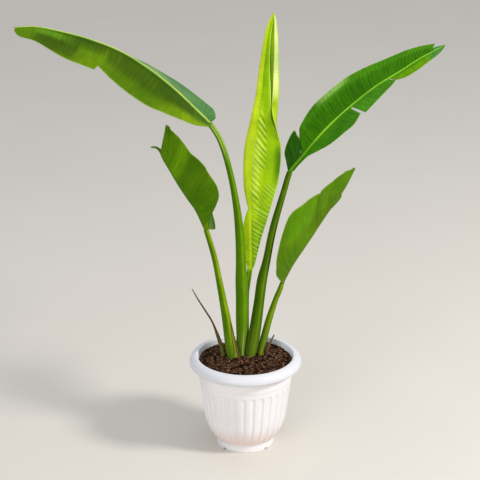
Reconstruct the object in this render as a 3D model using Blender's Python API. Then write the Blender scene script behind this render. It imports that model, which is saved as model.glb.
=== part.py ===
"""A young travelers palm in a fluted white pot.

Metres, +Z up, standing on z = 0 with the pot's axis on Z. The fan of leaves is turned about the pot's axis,
so that the left leaves reach towards -Y and the right ones towards +Y. Each leaf is one grown piece: a stalk
that stands in the soil, a rib and the two halves of its blade.
"""

import bisect
import math
import random
from functools import partial

import bmesh
import bpy
from mathutils import Vector

GAP = 0.0003

# Pot
FLUTES = 32
FLUTE_SIDES = 4 * FLUTES
SMOOTH_SIDES = 2 * FLUTES
INNER_SIDES = FLUTES
# Share of a flute's depth at each of the four corners that make one flute and the land beside it
FLUTE_SHAPE = (1.0, 1.0, 0.0, 0.0)
FLUTE_DEPTH = 0.0016
FLUTE_TURN = math.radians(-3.25)
FLOOR_UNDER = 0.0165
FLOOR_TOP = 0.0200
FOOT_INNER = 0.0495
# Outer wall from the foot up to the start of the flutes, radius and height
FOOT_ROWS = ((FOOT_INNER, 0.0), (0.0524, 0.0), (0.0533, 0.0010), (0.0535, 0.0118), (0.0540, 0.0140))
# Fluted wall: radius between the flutes, height, share of the flutes' full depth
FLUTE_ROWS = (
    (0.0560, 0.0162, 0.0),
    (0.0600, 0.0205, 1.0),
    (0.0665, 0.0312, 1.0),
    (0.0715, 0.0435, 1.0),
    (0.0748, 0.0570, 1.0),
    (0.0774, 0.0750, 1.0),
    (0.0828, 0.1180, 1.0),
    (0.0834, 0.1222, 0.0),
)
# Plain band, rim and inner wall
RIM_ROWS = (
    (0.0846, 0.1330),
    (0.0856, 0.1340),
    (0.0872, 0.1540),
    (0.0995, 0.1562),
    (0.1016, 0.1585),
    (0.1020, 0.1630),
    (0.1010, 0.1670),
    (0.0976, 0.1710),
    (0.0931, 0.1740),
    (0.0896, 0.1752),
    (0.0878, 0.1742),
    (0.0867, 0.1695),
)
# Inner wall below the rim, down to the floor
INNER_ROWS = (
    (0.0842, 0.1500),
    (0.0790, 0.1180),
    (0.0768, 0.0980),
    (0.0730, 0.0720),
    (0.0690, 0.0520),
    (0.0625, 0.0345),
    (0.0560, 0.0250),
    (0.0500, FLOOR_TOP),
)
DRAIN_RADIUS = 0.0045
DRAIN_REACH = 0.0330
NOTCH_WIDTH = 0.0070
NOTCH_HEIGHT = 0.0032
NOTCH_TURNS = (45, 135, 225, 315)
NOTCH_FROM = 0.0440
NOTCH_TO = 0.0600
DRAIN_SIDES = 16
CUT_PAST = 0.0020

# Soil
SOIL_EDGE_HEIGHT = 0.1635
SOIL_MOUND = 0.0050
SOIL_RINGS = (0.0780, 0.0640, 0.0480, 0.0320, 0.0160)
SOIL_ROUGHNESS = 0.0012
HOLE_CLEARANCE = 0.0004

# Leaves
HALF_THICKNESS = 0.0004
STEP = 0.0015
# Depth of the channel along a stalk and of the dip along a rib, as shares of their own half size
CHANNEL = 0.45
RIB_DIP = 0.15
# Share of the blade's length over which the stalk turns into the blade
JOIN = 0.02
STRIPS = (0.36, 0.70, 1.0)
ROLL_STRIPS = (0.08, 0.18, 0.36, 0.60, 0.74, 0.86, 1.0)
FAN_TURN = math.radians(28)
FAN_SIDE = Vector((math.sin(FAN_TURN), -math.cos(FAN_TURN), 0))
TEAR_WIDTH = 0.003

# A leaf's path runs from the foot of its stalk through the start of its blade to the tip.
# stalk_size: height up the stalk from 0 to 1, half width, half depth.
# rib_size: share of the blade's length, half width of the rib, depth of its keel.
# near and far: the pieces of each half of the blade between its tears, and each row is the share of the
# blade's length, width, lift in degrees over the leaf's level, curl in degrees to the margin and lean
# towards the tip per width.
LEAVES = {
    "leaf_upper_left": {
        "hand": 1,
        "side": FAN_SIDE,
        "stalk": (
            (-0.0059, 0.006, 0.14),
            (-0.0063, 0.006, 0.1662),
            (-0.0072, 0.006, 0.1802),
            (-0.0074, 0.006, 0.2002),
            (-0.0063, 0.006, 0.2202),
            (-0.0058, 0.006, 0.2793),
            (-0.0069, 0.0056, 0.3185),
            (-0.008, 0.005, 0.353),
            (-0.01, 0.003, 0.404),
            (-0.016, 0.0, 0.463),
            (-0.027, -0.006, 0.526),
            (-0.043, -0.014, 0.585),
            (-0.06, -0.022, 0.617),
        ),
        "blade": (
            (-0.090, -0.038, 0.654),
            (-0.124, -0.056, 0.693),
            (-0.164, -0.077, 0.732),
            (-0.207, -0.100, 0.766),
            (-0.252, -0.124, 0.791),
            (-0.297, -0.148, 0.810),
            (-0.333, -0.167, 0.822),
            (-0.364, -0.184, 0.825),
        ),
        "stalk_size": (
            (0.0, 0.0039, 0.0048),
            (0.054, 0.0041, 0.005),
            (0.083, 0.0053, 0.0065),
            (0.124, 0.0074, 0.009),
            (0.206, 0.0094, 0.0115),
            (0.287, 0.0095, 0.0117),
            (0.367, 0.0092, 0.0113),
            (0.438, 0.0077, 0.0094),
            (0.543, 0.0068, 0.0083),
            (0.665, 0.0053, 0.0064),
            (0.797, 0.0044, 0.0053),
            (0.924, 0.0041, 0.005),
            (1.0, 0.004, 0.0049),
        ),
        "rib_size": (
            (0.0, 0.0036, 0.0036),
            (0.3, 0.0026, 0.0028),
            (0.7, 0.0017, 0.0018),
            (1.0, 0.0009, 0.0010),
        ),
        "near": (
            (
                (0.00, 0.006, -25, 0, 0.0),
                (0.08, 0.031, -34, -4, 0.0),
                (0.14, 0.046, -40, -6, 0.2),
                (0.20, 0.056, -46, -8, 0.35),
                (0.28, 0.066, -48, -8, 0.42),
                (0.37, 0.066, -50, -8, 0.45),
                (0.48, 0.059, -50, -8, 0.45),
                (0.592, 0.042, -50, -8, 0.45),
            ),
            (
                (0.597, 0.051, -50, -8, 0.45),
                (0.71, 0.047, -50, -8, 0.45),
                (0.785, 0.040, -50, -8, 0.45),
                (0.91, 0.023, -50, -8, 0.45),
                (0.98, 0.014, -50, -8, 0.4),
                (1.00, 0.005, -50, -8, 0.5),
            ),
        ),
        "far": (
            (
                (0.00, 0.012, 55, 0, -0.9),
                (0.02, 0.0165, 55, 0, -0.85),
                (0.04, 0.030, 50, -2, -0.5),
                (0.06, 0.037, 40, -4, -0.15),
                (0.12, 0.048, 28, -8, 0.3),
                (0.19, 0.052, 20, -8, 0.35),
                (0.26, 0.052, 14, -8, 0.4),
                (0.34, 0.050, 8, -8, 0.4),
                (0.43, 0.045, 2, -8, 0.4),
                (0.75, 0.034, -10, -8, 0.5),
                (0.92, 0.022, -12, -8, 0.6),
                (1.00, 0.004, -12, -8, 0.2),
            ),
        ),
    },
    "leaf_lower_left": {
        "hand": 1,
        "side": FAN_SIDE,
        "stalk": (
            (-0.0208, 0.004, 0.138),
            (-0.0222, 0.0023, 0.1679),
            (-0.0251, 0.0015, 0.1823),
            (-0.0287, 0.0002, 0.2029),
            (-0.0338, -0.0024, 0.2436),
            (-0.0403, -0.0055, 0.2842),
            (-0.047, -0.0089, 0.3244),
            (-0.055, -0.013, 0.369),
            (-0.069, -0.02, 0.424),
        ),
        "blade": (
            (-0.074, -0.023, 0.437),
            (-0.086, -0.029, 0.466),
            (-0.099, -0.036, 0.488),
            (-0.115, -0.045, 0.517),
            (-0.129, -0.052, 0.545),
            (-0.140, -0.058, 0.567),
            (-0.146, -0.061, 0.582),
            (-0.152, -0.064, 0.589),
            (-0.160, -0.068, 0.591),
        ),
        "stalk_size": (
            (0.0, 0.007, 0.0086),
            (0.103, 0.0073, 0.0091),
            (0.153, 0.0085, 0.0105),
            (0.225, 0.0076, 0.0094),
            (0.366, 0.0068, 0.0084),
            (0.508, 0.0056, 0.0069),
            (0.648, 0.0047, 0.0058),
            (0.804, 0.0042, 0.0051),
            (1.0, 0.0038, 0.0047),
        ),
        "rib_size": (
            (0.0, 0.0032, 0.0032),
            (0.5, 0.0022, 0.0022),
            (0.9, 0.0014, 0.0014),
            (1.0, 0.0008, 0.0008),
        ),
        "near": (
            (
                (0.00, 0.004, 45, 0, 0.5),
                (0.05, 0.0125, 60, 4, 0.75),
                (0.10, 0.0245, 68, 4, 0.45),
                (0.165, 0.041, 70, 4, 0.35),
                (0.20, 0.0475, 70, 4, 0.4),
                (0.26, 0.0525, 71, 5, 0.5),
                (0.35, 0.0545, 72, 5, 0.6),
                (0.455, 0.052, 72, 5, 0.7),
                (0.58, 0.0445, 72, 5, 0.8),
                (0.69, 0.0425, 72, 4, 0.9),
                (0.76, 0.0405, 72, 4, 1.0),
                (0.88, 0.027, 72, 3, 1.7),
            ),
            ((0.895, 0.004, 60, 0, 0.4), (1.00, 0.0012, 50, 0, 0.0)),
        ),
        "far": (
            (
                (0.00, 0.018, 50, 0, -0.8),
                (0.02, 0.0265, 52, 2, -0.95),
                (0.05, 0.030, 58, 4, -0.5),
                (0.08, 0.0315, 62, 6, -0.1),
                (0.14, 0.034, 66, 10, 0.3),
                (0.30, 0.040, 70, 8, 0.5),
                (0.60, 0.036, 74, 6, 0.7),
                (0.88, 0.022, 76, 4, 1.2),
            ),
            ((0.895, 0.004, 60, 0, 0.4), (1.00, 0.0012, 50, 0, 0.0)),
        ),
    },
    "leaf_upper_right": {
        "hand": -1,
        "side": FAN_SIDE,
        "stalk": (
            (0.0079, 0.009, 0.139),
            (0.0089, 0.009, 0.1648),
            (0.0109, 0.0096, 0.1786),
            (0.0145, 0.0111, 0.1979),
            (0.02, 0.0141, 0.2364),
            (0.025, 0.0171, 0.2747),
            (0.0299, 0.02, 0.3126),
            (0.038, 0.023, 0.35),
            (0.049, 0.029, 0.407),
            (0.069, 0.04, 0.478),
            (0.078, 0.045, 0.508),
        ),
        "blade": (
            (0.084, 0.049, 0.517),
            (0.097, 0.055, 0.531),
            (0.119, 0.067, 0.555),
            (0.148, 0.082, 0.583),
            (0.185, 0.102, 0.612),
            (0.235, 0.127, 0.645),
            (0.278, 0.148, 0.666),
            (0.317, 0.167, 0.686),
            (0.363, 0.190, 0.704),
        ),
        "stalk_size": (
            (0.0, 0.0068, 0.0084),
            (0.068, 0.0072, 0.0088),
            (0.105, 0.0089, 0.0109),
            (0.157, 0.0092, 0.0113),
            (0.26, 0.0087, 0.0107),
            (0.362, 0.0079, 0.0097),
            (0.464, 0.0077, 0.0094),
            (0.565, 0.006, 0.0073),
            (0.719, 0.0055, 0.0067),
            (0.916, 0.0045, 0.0055),
            (1.0, 0.0042, 0.0051),
        ),
        "rib_size": (
            (0.0, 0.0034, 0.0034),
            (0.4, 0.0022, 0.0024),
            (0.8, 0.0014, 0.0014),
            (1.0, 0.0008, 0.0008),
        ),
        "near": (
            (
                (0.00, 0.004, 0, 0, 0.0),
                (0.10, 0.007, -4, 0, 0.2),
                (0.147, 0.020, -5, 0, 0.2),
                (0.20, 0.034, -5, 0, 0.25),
                (0.285, 0.043, -5, 0, 0.25),
                (0.335, 0.0455, -4, 0, 0.2),
                (0.42, 0.0345, -4, 0, 0.05),
            ),
            (
                (0.435, 0.0435, -2, 0, 0.05),
                (0.468, 0.0385, -3, 0, 0.25),
                (0.54, 0.032, -4, 0, 0.35),
                (0.60, 0.0255, -4, 0, 0.4),
                (0.655, 0.016, -4, 0, 0.5),
            ),
            (
                (0.67, 0.0148, -14, 10, 0.36),
                (0.71, 0.0193, -20, 14, 0.19),
                (0.775, 0.0195, -24, 16, 0.03),
                (0.84, 0.018, -24, 16, 0.01),
                (0.91, 0.015, -20, 12, -0.12),
                (0.96, 0.0105, -12, 8, -0.25),
                (1.00, 0.001, 0, 0, 0.0),
            ),
        ),
        "far": (
            (
                (0.00, 0.003, 58, 8, 0.2),
                (0.02, 0.011, 58, 8, 0.35),
                (0.04, 0.023, 58, 6, 0.2),
                (0.058, 0.0325, 57, 5, 0.4),
                (0.072, 0.039, 56, 4, 0.9),
                (0.082, 0.028, 54, 4, 1.05),
                (0.092, 0.018, 52, 4, 1.3),
            ),
            (
                (0.104, 0.0195, 38, 4, 1.15),
                (0.115, 0.033, 37, 4, 0.9),
                (0.13, 0.0345, 36, 3, 0.8),
                (0.18, 0.038, 35, 2, 0.3),
                (0.285, 0.0475, 34, 2, 0.25),
                (0.35, 0.048, 34, 1, 0.3),
                (0.425, 0.0485, 33, 0, 0.38),
                (0.49, 0.0475, 33, 0, 0.4),
                (0.61, 0.0392, 33, 0, 0.51),
                (0.73, 0.0315, 32, 0, 0.8),
                (0.81, 0.023, 30, 0, 1.12),
                (0.86, 0.0176, 30, 0, 1.42),
                (0.905, 0.012, 28, 0, 2.0),
            ),
            ((0.92, 0.0075, 26, 0, 0.7), (0.96, 0.005, 24, 0, 0.5), (1.00, 0.001, 20, 0, 0.0)),
        ),
    },
    "leaf_lower_right": {
        "hand": -1,
        "side": FAN_SIDE,
        "stalk": (
            (0.0268, 0.015, 0.14),
            (0.0273, 0.0158, 0.1636),
            (0.0283, 0.0165, 0.1754),
            (0.0329, 0.0184, 0.1946),
            (0.0426, 0.0229, 0.2326),
            (0.0547, 0.0311, 0.2687),
            (0.0623, 0.0345, 0.287),
            (0.067, 0.037, 0.3),
        ),
        "blade": (
            (0.072, 0.039, 0.310),
            (0.086, 0.047, 0.334),
            (0.104, 0.056, 0.359),
            (0.121, 0.065, 0.382),
            (0.140, 0.075, 0.409),
            (0.161, 0.087, 0.436),
            (0.181, 0.097, 0.463),
            (0.199, 0.107, 0.496),
        ),
        "stalk_size": (
            (0.0, 0.0036, 0.0045),
            (0.141, 0.0038, 0.0048),
            (0.211, 0.0046, 0.0057),
            (0.33, 0.0054, 0.0067),
            (0.564, 0.005, 0.0063),
            (0.797, 0.004, 0.005),
            (0.916, 0.0039, 0.0048),
            (1.0, 0.0032, 0.004),
        ),
        "rib_size": ((0.0, 0.0030, 0.0028), (0.5, 0.0020, 0.0020), (1.0, 0.0008, 0.0008)),
        "near": (
            (
                (0.00, 0.010, 54, 0, 0.0),
                (0.035, 0.029, 66, 6, 0.1),
                (0.055, 0.046, 68, 8, 0.3),
                (0.08, 0.056, 70, 8, 0.5),
                (0.11, 0.068, 71, 8, 0.75),
                (0.15, 0.078, 72, 8, 0.95),
                (0.213, 0.0755, 72, 8, 1.05),
                (0.36, 0.063, 72, 6, 1.1),
                (0.464, 0.0487, 72, 5, 1.2),
            ),
            (
                (0.474, 0.0495, 72, 4, 1.2),
                (0.57, 0.044, 72, 4, 1.2),
                (0.77, 0.031, 72, 3, 1.1),
                (0.915, 0.0135, 72, 2, 1.0),
                (1.00, 0.003, 70, 0, 0.3),
            ),
        ),
        "far": (
            (
                (0.00, 0.008, 60, 8, 0.0),
                (0.055, 0.022, 72, 6, 0.3),
                (0.15, 0.038, 76, 6, 0.8),
                (0.36, 0.036, 78, 4, 1.0),
                (0.62, 0.022, 78, 2, 1.0),
            ),
            ((0.64, 0.009, -60, 0, 0.9), (0.70, 0.011, -66, 0, 1.2), (0.74, 0.006, -66, 0, 2.0)),
            ((0.76, 0.018, 78, 2, 1.0), (0.915, 0.010, 78, 2, 1.0), (1.00, 0.002, 76, 0, 0.3)),
        ),
    },
    "leaf_centre": {
        "hand": -1,
        "side": Vector((1, 0, 0)),
        "rolled": True,
        "stalk": (
            (-0.001, 0.026, 0.14),
            (0.0018, 0.026, 0.1811),
            (0.0013, 0.026, 0.2312),
            (0.0015, 0.026, 0.2709),
            (0.0024, 0.026, 0.2906),
            (0.0052, 0.026, 0.3102),
            (0.0079, 0.026, 0.3296),
        ),
        "blade": (
            (0.0088, 0.026, 0.3452),
            (0.0081, 0.026, 0.4067),
            (0.008, 0.026, 0.4636),
            (0.0079, 0.026, 0.4917),
            (0.0083, 0.026, 0.5289),
            (0.0104, 0.026, 0.5602),
            (0.0155, 0.026, 0.5931),
            (0.0215, 0.026, 0.6294),
            (0.0265, 0.026, 0.6653),
            (0.0298, 0.026, 0.7009),
            (0.0339, 0.026, 0.7362),
            (0.0389, 0.026, 0.7711),
            (0.047, 0.026, 0.8006),
        ),
        "stalk_size": ((0.0, 0.0050, 0.0046), (0.5, 0.0052, 0.0046), (1.0, 0.0046, 0.0040)),
        "rib_size": (
            (0.0, 0.0036, 0.0030),
            (0.3, 0.0024, 0.0020),
            (0.7, 0.0014, 0.0012),
            (1.0, 0.0008, 0.0008),
        ),
        "near": (
            (
                (0.0, 0.002, 16, 0, 0.0),
                (0.06, 0.0088, 16, -13, 0.0),
                (0.12, 0.016, 16, -26, 0.0),
                (0.2, 0.0274, 16, -26, 0.0),
                (0.28, 0.0379, 16, -26, 0.0),
                (0.36, 0.0481, 16, -26, 0.0),
                (0.43, 0.0517, 16, -26, 0.0),
                (0.49, 0.0505, 16, -26, 0.0),
                (0.53, 0.0466, 16, -26, 0.0),
                (0.565, 0.0373, 16, -26, 0.0),
                (0.61, 0.0238, 16, -26, 0.0),
                (0.68, 0.0181, 16, -26, 0.0),
                (0.76, 0.0124, 16, -26, 0.0),
                (0.84, 0.0079, 16, -26, 0.0),
                (0.92, 0.0052, 16, -26, 0.0),
                (1.0, 0.002, 10, 0, 0.0),
            ),
        ),
        "far": (
            (
                (0.0, 0.004, 0, 0, 0.0),
                (0.03, 0.014, 0, 0, 0.0),
                (0.06, 0.028, 0, 0, 0.0),
                (0.108, 0.036, 0, 0, 0.0),
                (0.15, 0.034, 0, 0, 0.0),
                (0.19, 0.026, 0, 0, 0.0),
                (0.228, 0.012, 0, 0, 0.0),
                (0.242, 0.005, 0, 0, 0.0),
            ),
            (
                (0.256, 0.012, 0, 0, 0.0),
                (0.288, 0.038, 0, 0, 0.0),
                (0.33, 0.064, 0, 0, 0.0),
                (0.42, 0.078, 0, 0, 0.0),
                (0.52, 0.077, 0, 0, 0.0),
                (0.62, 0.072, 0, 0, 0.0),
                (0.69, 0.066, 0, 0, 0.0),
                (0.77, 0.059, 0, 0, 0.0),
                (0.85, 0.049, 0, 0, 0.0),
                (0.93, 0.034, 0, 0, 0.0),
                (0.976, 0.018, 0, 0, 0.0),
                (1.0, 0.002, 0, 0, 0.0),
            ),
        ),
    },
}
# The back half of the rolled leaf turns behind the front one. Share of the width and heading in degrees.
ROLL_FOOT = ((0.0, -12), (0.3, -45), (0.45, -140), (0.6, -180), (1.0, -192))
ROLL_OPEN = ((0.0, -5), (0.1, -25), (0.16, -90), (0.24, -150), (0.32, -180), (0.6, -186), (1.0, -192))
ROLL_WRAPPED = (
    (0.0, -5),
    (0.07, -30),
    (0.13, -90),
    (0.20, -160),
    (0.26, -182),
    (0.70, -190),
    (0.80, -270),
    (0.88, -340),
    (1.0, -366),
)
ROLL_FOOT_ENDS = 0.25
ROLL_STARTS = 0.50
ROLL_FULL = 0.66

LONGEST_STRIDE = 0.07
SHORTEST_STRIDE = 0.012
STALK_STATIONS = 10
STALK_CROWDING = 1.4
HOLE_STATIONS = 4

# Dry remains: path, then half width and half depth along it
DRY_STATIONS = 8
DRY_ROUND = 4
DRY_LEAST = 0.0002
DRY_PIECES = {
    "dead_stalk_left": {
        "path": (
            (-0.037, 0.011, 0.142),
            (-0.041, 0.011, 0.172),
            (-0.048, 0.010, 0.199),
            (-0.060, 0.008, 0.235),
            (-0.072, 0.005, 0.258),
            (-0.085, 0.003, 0.281),
            (-0.096, 0.001, 0.303),
        ),
        "size": (
            (0.0, 0.0036, 0.0028),
            (0.35, 0.0034, 0.0024),
            (0.5, 0.0018, 0.0015),
            (0.8, 0.0014, 0.0012),
            (1.0, 0.0007, 0.0006),
        ),
    },
    "dead_stub_right": {
        "path": (
            (0.036, 0.024, 0.146),
            (0.038, 0.0245, 0.166),
            (0.044, 0.026, 0.182),
            (0.053, 0.028, 0.201),
        ),
        "size": (
            (0.0, 0.0036, 0.0028),
            (0.4, 0.0034, 0.0024),
            (0.7, 0.0018, 0.0014),
            (1.0, 0.0010, 0.0008),
        ),
    },
    "dry_sheath": {
        "path": (
            (-0.0105, -0.009, 0.148),
            (-0.0115, -0.009, 0.168),
            (-0.016, -0.008, 0.192),
            (-0.021, -0.007, 0.216),
            (-0.026, -0.006, 0.241),
        ),
        "size": ((0.0, 0.0022, 0.0010), (0.5, 0.0016, 0.0008), (1.0, 0.0006, 0.0006)),
    },
}


def clear_scene():
    for obj in list(bpy.data.objects):
        bpy.data.objects.remove(obj, do_unlink=True)


def material(name, colour, roughness):
    made = bpy.data.materials.new(name)
    made.use_nodes = True
    shader = made.node_tree.nodes["Principled BSDF"]
    shader.inputs["Base Color"].default_value = (*colour, 1)
    shader.inputs["Roughness"].default_value = roughness
    shader.inputs["Metallic"].default_value = 0
    return made


def add_object(name, points, faces, look, smooth=False):
    mesh = bpy.data.meshes.new(name)
    mesh.from_pydata([tuple(p) for p in points], [], faces)
    shape = bmesh.new()
    shape.from_mesh(mesh)
    bmesh.ops.recalc_face_normals(shape, faces=shape.faces)
    if shape.calc_volume(signed=True) < 0:
        bmesh.ops.reverse_faces(shape, faces=shape.faces)
    shape.to_mesh(mesh)
    shape.free()
    mesh.polygons.foreach_set("use_smooth", [smooth] * len(mesh.polygons))
    if look:
        mesh.materials.append(look)
    obj = bpy.data.objects.new(name, mesh)
    bpy.context.scene.collection.objects.link(obj)
    return obj


def cutter(name, points, faces):
    obj = add_object(name, points, faces, None)
    obj.hide_render = True
    obj.display_type = "WIRE"
    return obj


def cut(obj, cutters):
    """Cuts the cutters out of the object, applies the cut and removes them."""
    group = bpy.data.collections.new(obj.name + "_cuts")
    for item in cutters:
        group.objects.link(item)
    modifier = obj.modifiers.new("cuts", "BOOLEAN")
    modifier.operation = "DIFFERENCE"
    modifier.operand_type = "COLLECTION"
    modifier.solver = "EXACT"
    modifier.collection = group
    bpy.context.view_layer.update()
    result = obj.evaluated_get(bpy.context.evaluated_depsgraph_get())
    mesh = bpy.data.meshes.new_from_object(result)
    obj.modifiers.clear()
    obj.data = mesh
    for item in cutters:
        bpy.data.objects.remove(item, do_unlink=True)
    bpy.data.collections.remove(group)


def graded(rows, at):
    """The values of the rows at one place, joined smoothly from row to row."""
    if at <= rows[0][0]:
        return rows[0][1:]
    if at >= rows[-1][0]:
        return rows[-1][1:]
    i = bisect.bisect_right([row[0] for row in rows], at) - 1
    low, high = rows[i], rows[i + 1]
    span = high[0] - low[0]
    share = (at - low[0]) / span
    values = []
    for k in range(1, len(low)):
        rise = (high[k] - low[k]) / span
        start = rise if i == 0 else (high[k] - rows[i - 1][k]) / (high[0] - rows[i - 1][0])
        last = i + 2 == len(rows)
        end = rise if last else (rows[i + 2][k] - low[k]) / (rows[i + 2][0] - low[0])
        a = low[k] * (1 + 2 * share) * (1 - share) ** 2
        b = high[k] * (3 - 2 * share) * share**2
        c = (start * (1 - share) - end * share) * share * (1 - share) * span
        values.append(a + b + c)
    return values


def path_rows(points):
    """Rows of distance along the path and x, y, z."""
    rows = [(0.0, *points[0])]
    for previous, point in zip(points, points[1:]):
        rows.append((rows[-1][0] + math.dist(previous, point), *point))
    return rows


def path_axes(rows, at, side, hand):
    """The point, the direction along, the side direction and the upper side's direction."""
    point = Vector(graded(rows, at))
    low, high = max(at - STEP, 0), min(at + STEP, rows[-1][0])
    along = (Vector(graded(rows, high)) - Vector(graded(rows, low))).normalized()
    across = (side - along * along.dot(side)).normalized()
    return point, along, across, along.cross(across) * hand


def stalk_section(columns, half, depth):
    """Offsets across and up for the upper row and the lower row of a stalk, from one edge to the other."""
    upper, lower = [], []
    for j in range(-columns, columns + 1):
        share = j / columns
        across = half * math.sin(share * math.pi / 2)
        arch = depth * math.cos(share * math.pi / 2)
        channel = CHANNEL * depth * max(1 - 2 * abs(share), 0)
        upper.append((across, arch - channel + HALF_THICKNESS))
        lower.append((across, -arch - HALF_THICKNESS))
    return upper, lower


def half_at(pieces, at):
    """The values of one half of a blade, narrowed to the rib inside a tear."""
    for piece in pieces:
        if piece[0][0] <= at <= piece[-1][0]:
            return graded(piece, at)
    before = [piece[-1] for piece in pieces if piece[-1][0] < at][-1]
    return (TEAR_WIDTH, before[2], 0, before[4])


def rolled_heading(at, share):
    """Heading of the back half of the rolled leaf at one share of its width."""
    if at < ROLL_FOOT_ENDS:
        return graded(ROLL_FOOT, share)[0]
    wrap = min(max((at - ROLL_STARTS) / (ROLL_FULL - ROLL_STARTS), 0), 1)
    return graded(ROLL_OPEN, share)[0] * (1 - wrap) + graded(ROLL_WRAPPED, share)[0] * wrap


def half_profile(values, strips, heading, steps=5):
    """Across, up and lean of the middle surface at each strip, with the heading there."""
    width, lift, curl, lean = values
    across, up, done = 0.0, 0.0, 0.0
    profile = []
    for share in strips:
        for i in range(steps):
            middle = done + (share - done) * (i + 0.5) / steps
            turn = math.radians(heading(middle) if heading else lift + curl * middle)
            across += width * (share - done) / steps * math.cos(turn)
            up += width * (share - done) / steps * math.sin(turn)
        done = share
        turn = math.radians(heading(share) if heading else lift + curl * share)
        profile.append((across, up, width * lean * share * (0.5 + 0.5 * share), turn))
    return profile


def blade_section(leaf, at, strips):
    """Upper and lower rows of offsets across, up and along for the two halves and the rib between them."""
    half, keel = graded(leaf["rib_size"], at)
    near = half_at(leaf["near"], at)
    far = half_at(leaf["far"], at)
    # A strip that hangs below the leaf's level doesn't turn the rib
    roll = math.radians(near[1] - abs(far[1])) / 2
    if leaf.get("rolled"):
        roll = 0
    sides = []
    for sign, values in ((-1, far), (1, near)):
        heading = partial(rolled_heading, at) if leaf.get("rolled") and sign == -1 else None
        start = (half * math.cos(roll), half * math.sin(roll) * sign)
        rows = [(start[0], start[1], 0, roll * sign)]
        for across, up, lean, turn in half_profile(values, strips, heading):
            rows.append((start[0] + across, start[1] + up, lean, turn))
        upper, lower = [], []
        for across, up, lean, turn in rows:
            shift = (-math.sin(turn) * HALF_THICKNESS, math.cos(turn) * HALF_THICKNESS)
            upper.append(((across + shift[0]) * sign, up + shift[1], lean))
            lower.append(((across - shift[0]) * sign, up - shift[1], lean))
        sides.append((upper, lower))
    middle = [(math.sin(roll) * RIB_DIP * half, -math.cos(roll) * RIB_DIP * half, 0)]
    bottom = [(math.sin(roll) * keel, -math.cos(roll) * keel, 0)]
    upper = sides[0][0][::-1] + middle + sides[1][0]
    lower = sides[0][1][::-1] + bottom + sides[1][1]
    return upper, lower


def blade_stations(leaf):
    """Shares of the blade's length: every row, each tear with a place in it, and fill between far rows."""
    tears, rows = [], [JOIN, 1.0]
    for pieces in (leaf["near"], leaf["far"]):
        for before, after in zip(pieces, pieces[1:]):
            tears += [before[-1][0], (before[-1][0] + after[0][0]) / 2, after[0][0]]
        rows += [row[0] for piece in pieces for row in piece]
    kept = sorted(tears)
    for share in rows:
        if share > JOIN / 2 and all(abs(share - other) >= SHORTEST_STRIDE for other in kept):
            kept.append(share)
    kept.sort()
    stations = kept[:1]
    for share in kept[1:]:
        parts = math.ceil((share - stations[-1]) / LONGEST_STRIDE)
        start = stations[-1]
        stations += [start + (share - start) * k / parts for k in range(1, parts + 1)]
    return stations


def leaf_rings(leaf, strips, grow=0.0, foot_only=False):
    """The rings of points of a leaf from its foot to its tip, or only those at its foot."""
    points = leaf["stalk"] + leaf["blade"]
    rows = path_rows(points)
    stalk_length = rows[len(leaf["stalk"]) - 1][0]
    blade_length = rows[-1][0] - stalk_length
    columns = len(strips) + 1
    rings = []

    def place(at, upper, lower):
        point, along, across, up = path_axes(rows, at, leaf["side"], leaf["hand"])
        ring = []
        for row in (upper, lower):
            ring.append([point + across * o[0] + up * o[1] + along * (o[2] if len(o) > 2 else 0) for o in row])
        rings.append(ring)

    for i in range(HOLE_STATIONS if foot_only else STALK_STATIONS + 1):
        share = (i / STALK_STATIONS) ** STALK_CROWDING
        half, depth = graded(leaf["stalk_size"], share)
        place(share * stalk_length, *stalk_section(columns, half + grow, depth + grow))
    if foot_only:
        return rings
    half, depth = graded(leaf["stalk_size"], 1)
    stalk = stalk_section(columns, half, depth)
    for at in blade_stations(leaf):
        blade = blade_section(leaf, at, strips)
        mix = min(at / JOIN, 1)
        rows_now = []
        for stalk_row, blade_row in zip(stalk, blade):
            rows_now.append([
                (s[0] + (b[0] - s[0]) * mix, s[1] + (b[1] - s[1]) * mix, b[2] * mix)
                for s, b in zip(stalk_row, blade_row)
            ])
        place(stalk_length + at * blade_length, *rows_now)
    return rings


def loft(rings):
    """Closes the rings into one skin. Both sides of the blade are split into triangles alike."""
    width = len(rings[0][0])
    points = []
    for upper, lower in rings:
        points += upper + lower
    faces = []

    def index(ring, row, column):
        return (ring * 2 + row) * width + column

    for i in range(len(rings) - 1):
        for j in range(width - 1):
            for row in (0, 1):
                a, b = index(i, row, j), index(i, row, j + 1)
                c, d = index(i + 1, row, j + 1), index(i + 1, row, j)
                quad = ((a, b, c), (a, c, d))
                faces += quad if row == 0 else [face[::-1] for face in quad]
        for j in (0, width - 1):
            a, b = index(i, 0, j), index(i, 1, j)
            c, d = index(i + 1, 1, j), index(i + 1, 0, j)
            faces += ((a, b, c), (a, c, d)) if j else ((c, b, a), (d, c, a))
    for i in (0, len(rings) - 1):
        for j in range(width - 1):
            a, b = index(i, 0, j), index(i, 0, j + 1)
            c, d = index(i, 1, j + 1), index(i, 1, j)
            faces += ((c, b, a), (d, c, a)) if i == 0 else ((a, b, c), (a, c, d))
    return points, faces


def leaf_colour(name):
    return {
        "leaf_centre": (0.30, 0.55, 0.02),
        "leaf_upper_right": (0.05, 0.22, 0.03),
    }.get(name, (0.09, 0.26, 0.02))


def make_leaf(name):
    leaf = LEAVES[name]
    strips = ROLL_STRIPS if leaf.get("rolled") else STRIPS
    points, faces = loft(leaf_rings(leaf, strips))
    return add_object(name, points, faces, material(name, leaf_colour(name), 0.4), smooth=True)


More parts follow.
